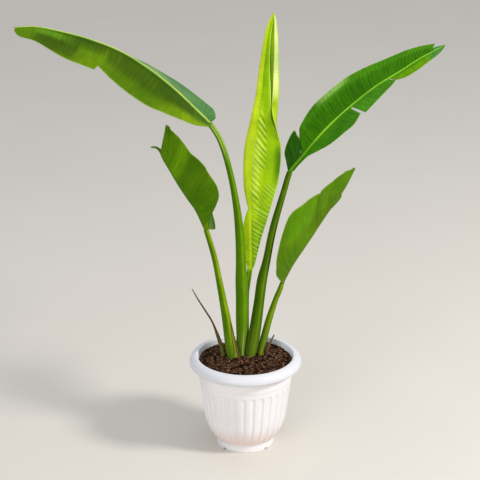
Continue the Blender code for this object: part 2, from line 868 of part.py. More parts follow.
def dry_rings(piece, grow=0.0, foot_only=False):
    rows = path_rows(piece["path"])
    rings = []
    for i in range(DRY_STATIONS // 2 + 1 if foot_only else DRY_STATIONS + 1):
        at = i / DRY_STATIONS * rows[-1][0]
        point, along, across, up = path_axes(rows, at, Vector((1, 0, 0)), 1)
        half, depth = graded(piece["size"], at / rows[-1][0])
        ring = []
        for row in (1, -1):
            edge = []
            for k in range(DRY_ROUND + 1):
                turn = math.pi * k / DRY_ROUND
                out = (half + grow) * math.cos(turn)
                rise = (depth + grow) * math.sin(turn) + DRY_LEAST
                edge.append(point - across * out + up * row * rise)
            ring.append(edge)
        rings.append(ring)
    return rings


def make_dry(name):
    points, faces = loft(dry_rings(DRY_PIECES[name]))
    return add_object(name, points, faces, material(name, (0.16, 0.08, 0.03), 0.85), smooth=True)


def ring_points(radius, height, sides, depth=0.0):
    points = []
    for i in range(sides):
        turn = 2 * math.pi * i / sides + FLUTE_TURN
        reach = radius - depth * FLUTE_SHAPE[i % len(FLUTE_SHAPE)]
        points.append(Vector((reach * math.sin(turn), -reach * math.cos(turn), height)))
    return points


def revolve(rows):
    """Skins the rows of radius, height, sides and flute depth, from the first ring to the last."""
    points, faces, starts = [], [], []
    for radius, height, sides, depth in rows:
        starts.append(len(points))
        points += ring_points(radius, height, sides, depth)
    for k in range(len(rows) - 1):
        a, b = starts[k], starts[k + 1]
        m, n = rows[k][2], rows[k + 1][2]
        for i in range(min(m, n)):
            if m == n:
                j = (i + 1) % n
                faces.append((a + i, a + j, b + j, b + i))
                continue
            wide, fine = (a, b) if m < n else (b, a)
            j, p = (i + 1) % min(m, n), 2 * i
            near = [(wide + i, fine + p + 1, fine + p), (wide + i, wide + j, fine + p + 1)]
            near.append((wide + j, fine + (p + 2) % max(m, n), fine + p + 1))
            faces += near
    faces.append(tuple(reversed(range(starts[0], starts[0] + rows[0][2]))))
    faces.append(tuple(range(starts[-1], starts[-1] + rows[-1][2])))
    return points, faces


def pot_rows():
    rows = [(FOOT_INNER - 0.0015, FLOOR_UNDER, SMOOTH_SIDES, 0)]
    rows += [(radius, height, SMOOTH_SIDES, 0) for radius, height in FOOT_ROWS]
    rows += [(radius, height, FLUTE_SIDES, FLUTE_DEPTH * share) for radius, height, share in FLUTE_ROWS]
    rows += [(radius, height, SMOOTH_SIDES, 0) for radius, height in RIM_ROWS]
    rows += [(radius, height, INNER_SIDES, 0) for radius, height in INNER_ROWS]
    return rows


def drain_cutters():
    cutters = []
    for turn in NOTCH_TURNS:
        angle = math.radians(turn)
        out = Vector((math.sin(angle), -math.cos(angle), 0))
        rows = [
            (DRAIN_RADIUS, FLOOR_UNDER - CUT_PAST, DRAIN_SIDES, 0),
            (DRAIN_RADIUS, FLOOR_TOP + CUT_PAST, DRAIN_SIDES, 0),
        ]
        points, faces = revolve(rows)
        cutters.append(cutter("drain", [p + out * DRAIN_REACH for p in points], faces))
        cutters.append(notch_cutter(out))
    return cutters


def notch_cutter(out):
    side = Vector((-out.y, out.x, 0))
    points = []
    for reach in (NOTCH_FROM, NOTCH_TO):
        for across, height in ((-1, -CUT_PAST), (1, -CUT_PAST), (1, NOTCH_HEIGHT), (-1, NOTCH_HEIGHT)):
            shrink = 0.7 if height > 0 else 1
            points.append(out * reach + side * across * shrink * NOTCH_WIDTH / 2 + Vector((0, 0, height)))
    faces = [(0, 1, 2, 3), (7, 6, 5, 4)]
    faces += [(k, 4 + k, 4 + (k + 1) % 4, (k + 1) % 4) for k in range(4)]
    return cutter("notch", points, faces)


def make_pot():
    points, faces = revolve(pot_rows())
    pot = add_object("pot", points, faces, material("pot_plastic", (0.86, 0.88, 0.90), 0.35), smooth=True)
    cut(pot, drain_cutters())
    return pot


def inner_radius(height):
    rows = sorted((h, r) for r, h in INNER_ROWS + RIM_ROWS[-1:])
    for low, high in zip(rows, rows[1:]):
        if height <= high[0]:
            return low[1] + (high[1] - low[1]) * (height - low[0]) / (high[0] - low[0])
    return rows[-1][1]


def soil_wall_rows():
    """Rings that follow the pot's inner wall with a gap, from the bottom up."""
    gap = GAP * 1.3
    heights = [FLOOR_TOP + GAP] + [h for r, h in reversed(INNER_ROWS[:-1])]
    rows = [(inner_radius(h) - gap, h, INNER_SIDES, 0) for h in heights]
    rows.append((inner_radius(SOIL_EDGE_HEIGHT) - gap, SOIL_EDGE_HEIGHT, INNER_SIDES, 0))
    return rows


def make_soil():
    noise = random.Random(7)
    rows = soil_wall_rows()
    for radius in SOIL_RINGS:
        rise = SOIL_MOUND * (1 - (radius / 0.086) ** 2)
        rows.append((radius, SOIL_EDGE_HEIGHT + rise, INNER_SIDES, 0))
    points, faces = soil_skin(rows)
    top = SOIL_EDGE_HEIGHT + 0.0005
    for point in points:
        if point.z > top:
            point.z += noise.uniform(-1, 1) * SOIL_ROUGHNESS
    return add_object("soil", points, faces, material("soil", (0.045, 0.022, 0.012), 0.95), smooth=False)


def soil_skin(rows):
    points, faces = revolve(rows)
    faces.pop()
    last = len(points) - rows[-1][2]
    points.append(Vector((0, 0, SOIL_EDGE_HEIGHT + SOIL_MOUND)))
    faces += [(last + i, last + (i + 1) % rows[-1][2], len(points) - 1) for i in range(rows[-1][2])]
    return points, faces


def grown_past_soil(rings, below):
    """The cutter's first ring, moved down so that the hole is deeper than the stalk."""
    for row in rings[0]:
        for point in row:
            point.z -= below
    return rings


def stem_cutters():
    cutters = []
    for name, leaf in LEAVES.items():
        rings = leaf_rings(leaf, STRIPS, grow=HOLE_CLEARANCE, foot_only=True)
        points, faces = loft(grown_past_soil(rings, GAP))
        cutters.append(cutter(name + "_hole", points, faces))
    for name, piece in DRY_PIECES.items():
        rings = dry_rings(piece, grow=HOLE_CLEARANCE, foot_only=True)
        points, faces = loft(grown_past_soil(rings, GAP))
        cutters.append(cutter(name + "_hole", points, faces))
    return cutters


def main():
    clear_scene()
    make_pot()
    soil = make_soil()
    cut(soil, stem_cutters())
    for name in LEAVES:
        make_leaf(name)
    for name in DRY_PIECES:
        make_dry(name)


main()
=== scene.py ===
"""Looks of the young travelers palm in its fluted white pot, built around the fixed frame.

Each leaf is one skin of rings that follow its path. The rings lean as the leaf's veins do, so a ripple or a
vein is a value of the distance along the rib alone. Mesh attributes tell the materials where a point lies on
its leaf. Lengths are in metres, except in the tables that say millimetres.
"""

import bisect
import math
import random

import bmesh
import bpy
import numpy as np
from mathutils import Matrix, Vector, noise


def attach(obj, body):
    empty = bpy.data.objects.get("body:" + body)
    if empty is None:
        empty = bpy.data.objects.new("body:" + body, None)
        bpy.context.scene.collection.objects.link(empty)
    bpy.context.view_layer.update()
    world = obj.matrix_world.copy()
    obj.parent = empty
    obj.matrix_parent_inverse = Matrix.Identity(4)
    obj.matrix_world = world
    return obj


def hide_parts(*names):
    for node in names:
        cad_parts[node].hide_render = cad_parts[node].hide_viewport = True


# Camera, read from the ellipses of the pot
LENS = 120.0
SENSOR = 36.0
CAMERA_PLACE = (-0.0098, -2.655, 1.406)
CAMERA_TILT = 69.2

# Edges sharper than this, in degrees, stay sharp in the shading
SHARP_ANGLE = 55

# Leaves: half thickness of the blade, columns and strides of the rings, form of the rib and the channel
HALF_THICKNESS = 0.0003
STEP = 0.0015
STRIPS = 26
ROLL_STRIPS = 46
RIB_COLUMNS = 9
RIB_CORE = 1.25
RIB_PLACES = 0.001
RIB_RISE = 0.35
RIB_SHARE = 0.6
KEEL_FLAT = 0.15
STALK_STRIDE = 0.004
BLADE_STRIDE = 0.0014
TEAR_WIDTH = 0.003
JOIN = 0.02
CHANNEL = 0.45
CHANNEL_NARROW = 2.1
FAN_TURN = math.radians(28)
FAN_SIDE = Vector((math.sin(FAN_TURN), -math.cos(FAN_TURN), 0))
# A leaf's path runs from the foot of its stalk through the start of its blade to the tip, in millimetres.
# stalk_size: height up the stalk from 0 to 1, half width and half depth in millimetres.
# rib_size: share of the blade's length, half width of the rib and depth of its keel in millimetres.
# near and far: the pieces of each half of the blade between its tears. Each row is the share of the blade's
# length, width in millimetres, lift in degrees over the leaf's level, curl in degrees to the margin and lean
# towards the tip per width.
LEAVES = {}
LEAVES["leaf_upper_left"] = {
    "hand": 1,
    "side": FAN_SIDE,
    "stalk": (
        (-5.9, 6, 140), (-6.3, 6, 166.2), (-7.2, 6, 180.2), (-7.4, 6, 200.2), (-6.3, 6, 220.2),
        (-5.8, 6, 279.3), (-6.9, 5.6, 318.5), (-8, 5, 353), (-10, 3, 404), (-16, 0, 463), (-27, -6, 526),
        (-43, -14, 585), (-60, -22, 617),
    ),
    "blade": (
        (-90, -38, 654), (-124, -56, 693), (-164, -77, 732), (-207, -100, 766), (-252, -124, 791),
        (-297, -148, 810), (-333, -167, 822), (-364, -184, 825),
    ),
    "stalk_size": (
        (0, 3.9, 4.8), (0.054, 4.1, 5), (0.083, 5.3, 6.5), (0.124, 7.4, 9), (0.206, 9.4, 11.5),
        (0.287, 9.5, 11.7), (0.367, 9.2, 11.3), (0.438, 7.7, 9.4), (0.543, 6.8, 8.3), (0.665, 5.3, 6.4),
        (0.797, 4.4, 5.3), (0.924, 4.1, 5), (1, 4, 4.9),
    ),
    "rib_size": ((0, 3.6, 3.6), (0.3, 2.6, 2.8), (0.7, 1.7, 1.8), (1, 0.9, 1)),
    "near": (
        (
            (0, 6, -25, 0, 0), (0.08, 31, -34, -4, 0), (0.14, 46, -40, -6, 0.2), (0.2, 56, -46, -8, 0.35),
            (0.28, 66, -48, -8, 0.42), (0.37, 66, -50, -8, 0.45), (0.48, 59, -50, -8, 0.45),
            (0.592, 42, -50, -8, 0.45),
        ),
        (
            (0.597, 51, -50, -8, 0.45), (0.71, 47, -50, -8, 0.45), (0.785, 40, -50, -8, 0.45),
            (0.91, 23, -50, -8, 0.45), (0.98, 14, -50, -8, 0.4), (1, 5, -50, -8, 0.5),
        ),
    ),
    "far": (
        (
            (0, 12, 55, 0, -0.9), (0.02, 16.5, 55, 0, -0.85), (0.04, 30, 50, -2, -0.5),
            (0.06, 37, 40, -4, -0.15), (0.12, 48, 28, -8, 0.3), (0.19, 52, 20, -8, 0.35),
            (0.26, 52, 14, -8, 0.4), (0.34, 50, 8, -8, 0.4), (0.43, 45, 2, -8, 0.4),
            (0.75, 34, -10, -8, 0.5), (0.92, 22, -12, -8, 0.6), (1, 4, -12, -8, 0.2),
        ),
    ),
}
LEAVES["leaf_lower_left"] = {
    "hand": 1,
    "side": FAN_SIDE,
    "stalk": (
        (-20.8, 4, 138), (-22.2, 2.3, 167.9), (-25.1, 1.5, 182.3), (-28.7, 0.2, 202.9), (-33.8, -2.4, 243.6),
        (-40.3, -5.5, 284.2), (-47, -8.9, 324.4), (-55, -13, 369), (-69, -20, 424),
    ),
    "blade": (
        (-74, -23, 437), (-86, -29, 466), (-99, -36, 488), (-115, -45, 517), (-129, -52, 545),
        (-140, -58, 567), (-146, -61, 582), (-152, -64, 589), (-160, -68, 591),
    ),
    "stalk_size": (
        (0, 7, 8.6), (0.103, 7.3, 9.1), (0.153, 8.5, 10.5), (0.225, 7.6, 9.4), (0.366, 6.8, 8.4),
        (0.508, 5.6, 6.9), (0.648, 4.7, 5.8), (0.804, 4.2, 5.1), (1, 3.8, 4.7),
    ),
    "rib_size": ((0, 3.2, 3.2), (0.5, 2.2, 2.2), (0.9, 1.4, 1.4), (1, 0.8, 0.8)),
    "near": (
        (
            (0, 4, 45, 0, 0.5), (0.05, 12.5, 60, 4, 0.75), (0.1, 24.5, 68, 4, 0.45),
            (0.165, 41, 70, 4, 0.35), (0.2, 47.5, 70, 4, 0.4), (0.26, 52.5, 71, 5, 0.5),
            (0.35, 54.5, 72, 5, 0.6), (0.455, 52, 72, 5, 0.7), (0.58, 44.5, 72, 5, 0.8),
            (0.69, 42.5, 72, 4, 0.9), (0.76, 40.5, 72, 4, 1), (0.88, 27, 72, 3, 1.7),
        ),
        ((0.895, 4, 60, 0, 0.4), (1, 1.2, 50, 0, 0)),
    ),
    "far": (
        (
            (0, 18, 50, 0, -0.8), (0.02, 26.5, 52, 2, -0.95), (0.05, 30, 58, 4, -0.5),
            (0.08, 31.5, 62, 6, -0.1), (0.14, 34, 66, 10, 0.3), (0.3, 40, 70, 8, 0.5), (0.6, 36, 74, 6, 0.7),
            (0.88, 22, 76, 4, 1.2),
        ),
        ((0.895, 4, 60, 0, 0.4), (1, 1.2, 50, 0, 0)),
    ),
}
LEAVES["leaf_upper_right"] = {
    "hand": -1,
    "side": FAN_SIDE,
    "stalk": (
        (7.9, 9, 139), (8.9, 9, 164.8), (10.9, 9.6, 178.6), (14.5, 11.1, 197.9), (20, 14.1, 236.4),
        (25, 17.1, 274.7), (29.9, 20, 312.6), (38, 23, 350), (49, 29, 407), (69, 40, 478), (78, 45, 508),
    ),
    "blade": (
        (84, 49, 517), (97, 55, 531), (119, 67, 555), (148, 82, 583), (185, 102, 612), (235, 127, 645),
        (278, 148, 666), (317, 167, 686), (363, 190, 704),
    ),
    "stalk_size": (
        (0, 6.8, 8.4), (0.068, 7.2, 8.8), (0.105, 8.9, 10.9), (0.157, 9.2, 11.3), (0.26, 8.7, 10.7),
        (0.362, 7.9, 9.7), (0.464, 7.7, 9.4), (0.565, 6, 7.3), (0.719, 5.5, 6.7), (0.916, 4.5, 5.5),
        (1, 4.2, 5.1),
    ),
    "rib_size": ((0, 3.4, 3.4), (0.4, 2.2, 2.4), (0.8, 1.4, 1.4), (1, 0.8, 0.8)),
    "near": (
        (
            (0, 4, 0, 0, 0), (0.1, 7, -4, 0, 0.2), (0.147, 20, -5, 0, 0.2), (0.2, 34, -5, 0, 0.25),
            (0.285, 43, -5, 0, 0.25), (0.335, 45.5, -4, 0, 0.2), (0.42, 34.5, -4, 0, 0.05),
        ),
        (
            (0.435, 43.5, -2, 0, 0.05), (0.468, 38.5, -3, 0, 0.25), (0.54, 32, -4, 0, 0.35),
            (0.6, 25.5, -4, 0, 0.4), (0.655, 16, -4, 0, 0.5),
        ),
        (
            (0.67, 14.8, -14, 10, 0.36), (0.71, 19.3, -20, 14, 0.19), (0.775, 19.5, -24, 16, 0.03),
            (0.84, 18, -24, 16, 0.01), (0.91, 15, -20, 12, -0.12), (0.96, 10.5, -12, 8, -0.25),
            (1, 1, 0, 0, 0),
        ),
    ),
    "far": (
        (
            (0, 3, 58, 8, 0.2), (0.02, 11, 58, 8, 0.35), (0.04, 23, 58, 6, 0.2), (0.058, 32.5, 57, 5, 0.4),
            (0.072, 39, 56, 4, 0.9), (0.082, 28, 54, 4, 1.05), (0.092, 18, 52, 4, 1.3),
        ),
        (
            (0.104, 19.5, 38, 4, 1.15), (0.115, 33, 37, 4, 0.9), (0.13, 34.5, 36, 3, 0.8),
            (0.18, 38, 35, 2, 0.3), (0.285, 47.5, 34, 2, 0.25), (0.35, 48, 34, 1, 0.3),
            (0.425, 48.5, 33, 0, 0.38), (0.49, 47.5, 33, 0, 0.4), (0.61, 39.2, 33, 0, 0.51),
            (0.73, 31.5, 32, 0, 0.8), (0.81, 23, 30, 0, 1.12), (0.86, 17.6, 30, 0, 1.42),
            (0.905, 12, 28, 0, 2.0),
        ),
        ((0.92, 7.5, 26, 0, 0.7), (0.96, 5, 24, 0, 0.5), (1, 1, 20, 0, 0)),
    ),
}
LEAVES["leaf_lower_right"] = {
    "hand": -1,
    "side": FAN_SIDE,
    "stalk": (
        (26.8, 15, 140), (27.3, 15.8, 163.6), (28.3, 16.5, 175.4), (32.9, 18.4, 194.6), (42.6, 22.9, 232.6),
        (54.7, 31.1, 268.7), (62.3, 34.5, 287), (67, 37, 300),
    ),
    "blade": (
        (72, 39, 310), (86, 47, 334), (104, 56, 359), (121, 65, 382), (140, 75, 409), (161, 87, 436),
        (181, 97, 463), (199, 107, 496),
    ),
    "stalk_size": (
        (0, 3.6, 4.5), (0.141, 3.8, 4.8), (0.211, 4.6, 5.7), (0.33, 5.4, 6.7), (0.564, 5, 6.3),
        (0.797, 4, 5), (0.916, 3.9, 4.8), (1, 3.2, 4),
    ),
    "rib_size": ((0, 3, 2.8), (0.5, 2, 2), (1, 0.8, 0.8)),
    "near": (
        (
            (0, 10, 54, 0, 0), (0.035, 29, 66, 6, 0.1), (0.055, 46, 68, 8, 0.3), (0.08, 56, 70, 8, 0.5),
            (0.11, 68, 71, 8, 0.75), (0.15, 78, 72, 8, 0.95), (0.213, 75.5, 72, 8, 1.05),
            (0.36, 63, 72, 6, 1.1), (0.464, 48.7, 72, 5, 1.2),
        ),
        (
            (0.474, 49.5, 72, 4, 1.2), (0.57, 44, 72, 4, 1.2), (0.77, 31, 72, 3, 1.1),
            (0.915, 13.5, 72, 2, 1), (1, 3, 70, 0, 0.3),
        ),
    ),
    "far": (
        (
            (0, 8, 60, 8, 0), (0.055, 22, 72, 6, 0.3), (0.15, 38, 76, 6, 0.8), (0.36, 36, 78, 4, 1),
            (0.62, 22, 78, 2, 1),
        ),
        ((0.64, 9, -60, 0, 0.9), (0.7, 11, -66, 0, 1.2), (0.74, 6, -66, 0, 2.0)),
        ((0.76, 18, 78, 2, 1), (0.915, 10, 78, 2, 1), (1, 2, 76, 0, 0.3)),
    ),
}
LEAVES["leaf_centre"] = {
    "hand": -1,
    "side": Vector((1, 0, 0)),
    "rolled": True,
    "stalk": (
        (-1, 26, 140), (1.8, 26, 181.1), (1.3, 26, 231.2), (1.5, 26, 270.9), (2.4, 26, 290.6),
        (5.2, 26, 310.2), (7.9, 26, 329.6),
    ),
    "blade": (
        (8.8, 26, 345.2), (8.1, 26, 406.7), (8, 26, 463.6), (7.9, 26, 491.7), (8.3, 26, 528.9),
        (10.4, 26, 560.2), (15.5, 26, 593.1), (21.5, 26, 629.4), (26.5, 26, 665.3), (29.8, 26, 700.9),
        (33.9, 26, 736.2), (38.9, 26, 771.1), (47, 26, 800.6),
    ),
    "stalk_size": ((0, 5, 4.6), (0.5, 5.2, 4.6), (1, 4.6, 4)),
    "rib_size": ((0, 3.6, 3), (0.3, 2.4, 2), (0.7, 1.4, 1.2), (1, 0.8, 0.8)),
    "near": (
        (
            (0, 2, 16, 0, 0), (0.06, 8.8, 16, -13, 0), (0.12, 16, 16, -26, 0), (0.2, 27.4, 16, -26, 0),
            (0.28, 37.9, 16, -26, 0), (0.36, 48.1, 16, -26, 0), (0.43, 51.7, 16, -26, 0),
            (0.49, 50.5, 16, -26, 0), (0.53, 46.6, 16, -26, 0), (0.565, 37.3, 16, -26, 0),
            (0.61, 23.8, 16, -26, 0), (0.68, 18.1, 16, -26, 0), (0.76, 12.4, 16, -26, 0),
            (0.84, 7.9, 16, -26, 0), (0.92, 5.2, 16, -26, 0), (1, 2, 10, 0, 0),
        ),
    ),
    "far": (
        (
            (0, 4, 0, 0, 0), (0.03, 14, 0, 0, 0), (0.06, 28, 0, 0, 0), (0.108, 36, 0, 0, 0),
            (0.15, 34, 0, 0, 0), (0.19, 26, 0, 0, 0), (0.228, 12, 0, 0, 0), (0.242, 5, 0, 0, 0),
        ),
        (
            (0.256, 12, 0, 0, 0), (0.288, 38, 0, 0, 0), (0.33, 64, 0, 0, 0), (0.42, 78, 0, 0, 0),
            (0.52, 77, 0, 0, 0), (0.62, 72, 0, 0, 0), (0.69, 66, 0, 0, 0), (0.77, 59, 0, 0, 0),
            (0.85, 49, 0, 0, 0), (0.93, 34, 0, 0, 0), (0.976, 18, 0, 0, 0), (1, 2, 0, 0, 0),
        ),
    ),
}
# The back half of the rolled leaf turns behind the front one. Share of the width and heading in degrees.
ROLL_FOOT = ((0.0, -12), (0.3, -45), (0.45, -140), (0.6, -180), (1.0, -192))
ROLL_OPEN = ((0.0, -5), (0.1, -25), (0.16, -90), (0.24, -150), (0.32, -180), (0.6, -186), (1.0, -192))
ROLL_WRAPPED = (
    (0, -5), (0.07, -30), (0.13, -90), (0.2, -160), (0.26, -182), (0.7, -190), (0.8, -270), (0.88, -340),
    (1, -366),
)
ROLL_FOOT_ENDS = 0.25
ROLL_STARTS = 0.5
ROLL_FULL = 0.66

# Dry remains: path, then half width and half depth along it, in millimetres
DRY_ROUND = 12
DRY_LEAST = 0.0002
DRY_STRIDE = 0.0015
DRY_WRINKLE = 0.16
DRY_WRINKLE_RATES = (130, 2.5)
DRY_PIECES = {}
DRY_PIECES["dead_stalk_left"] = {
    "stalk": (
        (-37, 11, 142), (-41, 11, 172), (-48, 10, 199), (-60, 8, 235), (-72, 5, 258), (-85, 3, 281),
        (-96, 1, 303),
    ),
    "stalk_size": ((0, 3.6, 2.8), (0.35, 3.4, 2.4), (0.5, 1.8, 1.5), (0.8, 1.4, 1.2), (1, 0.7, 0.6)),
}
DRY_PIECES["dead_stub_right"] = {
    "stalk": ((36, 24, 146), (38, 24.5, 166), (44, 26, 182), (53, 28, 201)),
    "stalk_size": ((0, 3.6, 2.8), (0.4, 3.4, 2.4), (0.7, 1.8, 1.4), (1, 1, 0.8)),
}
DRY_PIECES["dry_sheath"] = {
    "stalk": ((-10.5, -9, 148), (-11.5, -9, 168), (-16, -8, 192), (-21, -7, 216), (-26, -6, 241)),
    "stalk_size": ((0, 2.2, 1), (0.5, 1.6, 0.8), (1, 0.6, 0.6)),
}

# Ripples: half of the blade, from and to along it, from and to across it, pitch, height, slant
RIPPLES = {
    "leaf_upper_left": (
        ("near", 0.0, 1.0, 0.1, 0.95, 0.009, 0.00018, 0.0),
        ("far", 0.0, 1.0, 0.1, 0.95, 0.008, 0.00012, 0.0),
    ),
    "leaf_lower_left": (
        ("near", 0.0, 0.9, 0.1, 0.95, 0.007, 0.0001, 0.0),
        ("far", 0.0, 0.9, 0.1, 0.95, 0.007, 0.0001, 0.0),
    ),
    "leaf_upper_right": (
        ("far", 0.08, 1.0, 0.1, 0.95, 0.0075, 0.0003, 0.0),
        ("near", 0.1, 1.0, 0.1, 0.95, 0.0085, 0.00014, 0.0),
    ),
    "leaf_lower_right": (("near", 0.0, 1.0, 0.1, 0.95, 0.0075, 0.0001, 0.0),),
    "leaf_centre": (
        ("near", 0.03, 0.25, 0.1, 0.94, 0.0088, 0.00052, 0.65),
        ("near", 0.27, 0.32, 0.5, 0.9, 0.0096, 0.00048, 1.0),
        ("near", 0.29, 0.41, 0.04, 0.3, 0.0115, 0.00088, 1.0),
        ("near", 0.43, 0.62, 0.14, 0.44, 0.0115, 0.0008, 1.0),
    ),
}
CREST_HEIGHT = 0.0009
RIPPLE_SOFT = (0.04, 0.08)
RIPPLE_DRIFT = 1.6
RIPPLE_DRIFT_RATE = 70.0
RIPPLE_DRIFT_ROWS = 900
WAVE_HEIGHT = 0.0012
WAVE_RATE = 26.0
FAR_WAVE_ROW = 7.3

# Base colours of each leaf: near half, far half, underside, rib, stalk, painted highlight on the stalk's edge
LOOKS = {}
# leaf_upper_left: the far half's bluish green is a painted sky reflection; the pale rib is painted brighter
# as a highlight.
LOOKS["leaf_upper_left"] = (
    (0.046, 0.105, 0.001), (0.118, 0.295, 0.08), (0.048, 0.12, 0.001), (0.48, 0.66, 0.1),
    (0.068, 0.172, 0.001), (0.14, 0.3, 0.003),
)
LOOKS["leaf_lower_left"] = (
    (0.068, 0.165, 0.001), (0.058, 0.15, 0.001), (0.066, 0.17, 0.001), (0.07, 0.16, 0.001),
    (0.068, 0.174, 0.001), (0.225, 0.34, 0.005),
)
LOOKS["leaf_upper_right"] = (
    (0.055, 0.24, 0.003), (0.034, 0.158, 0.001), (0.09, 0.272, 0.005), (0.3, 0.6, 0.03),
    (0.056, 0.132, 0.001), (0.12, 0.235, 0.002),
)
LOOKS["leaf_lower_right"] = (
    (0.1, 0.24, 0.001), (0.09, 0.22, 0.001), (0.088, 0.208, 0.001), (0.17, 0.22, 0.004),
    (0.105, 0.205, 0.001), (0.23, 0.35, 0.004),
)
LOOKS["leaf_centre"] = (
    (0.31, 0.55, 0.002), (0.62, 0.78, 0.02), (0.43, 0.68, 0.01), (0.5, 0.73, 0.012), (0.19, 0.4, 0.001),
    (0.26, 0.5, 0.003),
)
RIB_RISES = {"leaf_centre": 0.05, "leaf_upper_left": 0.6, "leaf_upper_right": 0.45}
STALK_BASE = (0.23, 0.32, 0.03)
STALK_BASE_SHARE = 0.45
STALK_BASE_REACH = (0.02, 0.12)
# Painted highlight on the stalks: along their edges, and over the upper face of the left ones, facing the
# light
STALK_HIGHLIGHT_STARTS = 0.76
STALK_UPPER_HIGHLIGHT = {"leaf_upper_left": 0.6, "leaf_lower_left": 0.9}
# Painted shade in the ripples' troughs and painted highlight on their crests: how much darker the troughs
# are, how far the crests turn to the highlight's colour, that colour
CREST_HIGHLIGHT_TROUGH_SHADE = {"leaf_centre": (0.2, 0.3, (0.72, 0.95, 0.3))}
MARGIN_COLOUR = (0.25, 0.4, 0.02)
MARGIN_COLOURS = {"leaf_centre": (0.62, 0.82, 0.15)}
MARGIN_STARTS = 0.985
MARGIN_SHARE = 0.7
HALVES_MEET = 0.02
BLADE_FOOT = (-0.002, 0.006)
RIB_EDGE = (0.2, 0.9)

# Patches of colour: half of the blade, its rib or its stalk; from and to along the blade; from and to across
# it; softness along and across; face (1 upper, 0 under, None both); strength; colour
# Several patches paint light and shade, as the comment above each says.
PATCHES = {}
PATCHES["leaf_upper_left"] = (
    # These two patches are painted light through the near half's margin, brightest at its foot.
    ("near", 0.08, 0.58, 0.85, 1.2, 0.12, 0.4, 1, 0.9, (0.088, 0.195, 0.001)),
    ("near", -0.1, 0.17, 0.7, 1.2, 0.13, 0.36, 1, 0.9, (0.165, 0.285, 0.001)),
    ("near", -0.1, 0.08, 0.2, 0.6, 0.06, 0.2, 1, 0.7, (0.062, 0.15, 0.001)),
    ("near", 0.6, 0.7, 0.35, 1.2, 0.03, 0.25, 1, 0.95, (0.115, 0.235, 0.001)),
    ("near", 0.7, 0.76, 0.8, 1.2, 0.07, 0.3, 1, 0.8, (0.105, 0.195, 0.001)),
    ("near", 0.8, 1.1, -0.2, 0.26, 0.14, 0.3, 1, 0.9, (0.1, 0.245, 0.008)),
    ("near", 0.62, 0.74, 0.1, 0.3, 0.08, 0.22, 1, 0.7, (0.04, 0.095, 0.001)),
    ("near", 0.76, 0.88, 0.5, 0.8, 0.08, 0.22, 1, 0.8, (0.042, 0.098, 0.001)),
    ("near", 0.94, 1.1, -0.2, 1.2, 0.05, 0.2, 1, 0.8, (0.105, 0.215, 0.001)),
    # Painted shade beside the rib.
    ("near", 0.2, 0.8, -0.2, 0.06, 0.12, 0.07, 1, 0.7, (0.026, 0.07, 0.001)),
    # Painted bluish highlight of sky reflection on the far half.
    ("far", 0.2, 0.62, 0.2, 0.72, 0.12, 0.2, 1, 0.8, (0.25, 0.45, 0.14)),
    # Painted highlight on the stalk's edge below the blade.
    ("stalk", -0.08, 0.1, 0.66, 0.84, 0.14, 0.12, None, 0.75, (0.42, 0.61, 0.11)),
    ("stalk", -1.12, -1.02, 0.96, 1.2, 0.05, 0.04, None, 0.5, (0.46, 0.58, 0.26)),
    ("far", -0.1, 0.2, 0.2, 1.2, 0.1, 0.2, 1, 0.8, (0.072, 0.2, 0.06)),
)
PATCHES["leaf_lower_left"] = (
    ("near", -0.1, 0.03, -0.2, 0.45, 0.06, 0.3, 0, 0.8, (0.19, 0.32, 0.002)),
    ("near", 0.36, 0.56, -0.2, 1.2, 0.1, 0.2, 0, 0.8, (0.054, 0.14, 0.001)),
    ("near", 0.63, 0.67, -0.2, 1.2, 0.08, 0.2, 0, 0.9, (0.112, 0.258, 0.001)),
    ("near", 0.93, 1.1, -0.2, 1.2, 0.05, 0.2, 0, 0.8, (0.04, 0.112, 0.001)),
    # Painted bluish highlight on the far half.
    ("far", -0.1, 1.1, 0.1, 0.75, 0.1, 0.15, None, 0.7, (0.095, 0.21, 0.06)),
)
PATCHES["leaf_upper_right"] = (
    ("far", 0.2, 0.9, 0.78, 1.2, 0.08, 0.2, 1, 0.7, (0.06, 0.23, 0.006)),
    # Painted highlight: a pale band near the far half's margin.
    ("far", 0.35, 0.43, 0.88, 1.2, 0.07, 0.12, 1, 0.9, (0.22, 0.42, 0.08)),
    # Painted bluish reflection at the far half's tip.
    ("far", 0.94, 1.1, -0.2, 1.2, 0.01, 0.2, 1, 0.8, (0.075, 0.27, 0.06)),
    # Painted shade on the far half's lobe at the blade's foot.
    ("far", -0.1, 0.1, -0.2, 1.2, 0.01, 0.2, None, 1.0, (0.01, 0.075, 0.001)),
    ("near", 0.48, 0.66, -0.2, 1.2, 0.1, 0.2, 1, 0.8, (0.067, 0.282, 0.009)),
    ("near", 0.67, 0.88, 0.45, 1.2, 0.03, 0.35, 1, 0.95, (0.14, 0.33, 0.001)),
    # Painted bluish reflection at the near half's tip.
    ("near", 0.92, 1.1, -0.2, 1.2, 0.04, 0.2, 1, 0.8, (0.075, 0.27, 0.05)),
    ("rib", -0.1, 0.12, -0.2, 1.2, 0.16, 0.2, None, 0.85, (0.11, 0.3, 0.006)),
)
PATCHES["leaf_lower_right"] = (
    ("near", -0.1, 0.09, -0.2, 1.2, 0.08, 0.2, 0, 0.8, (0.074, 0.172, 0.001)),
    ("near", 0.18, 0.4, 0.62, 1.2, 0.08, 0.3, 0, 0.9, (0.114, 0.29, 0.001)),
    ("near", 0.6, 0.86, 0.62, 1.2, 0.16, 0.3, 0, 0.8, (0.102, 0.245, 0.001)),
    ("near", 0.48, 0.58, -0.2, 0.3, 0.1, 0.15, 0, 0.6, (0.13, 0.212, 0.001)),
    ("near", 0.92, 1.1, -0.2, 1.2, 0.06, 0.2, 0, 0.7, (0.084, 0.205, 0.001)),
)
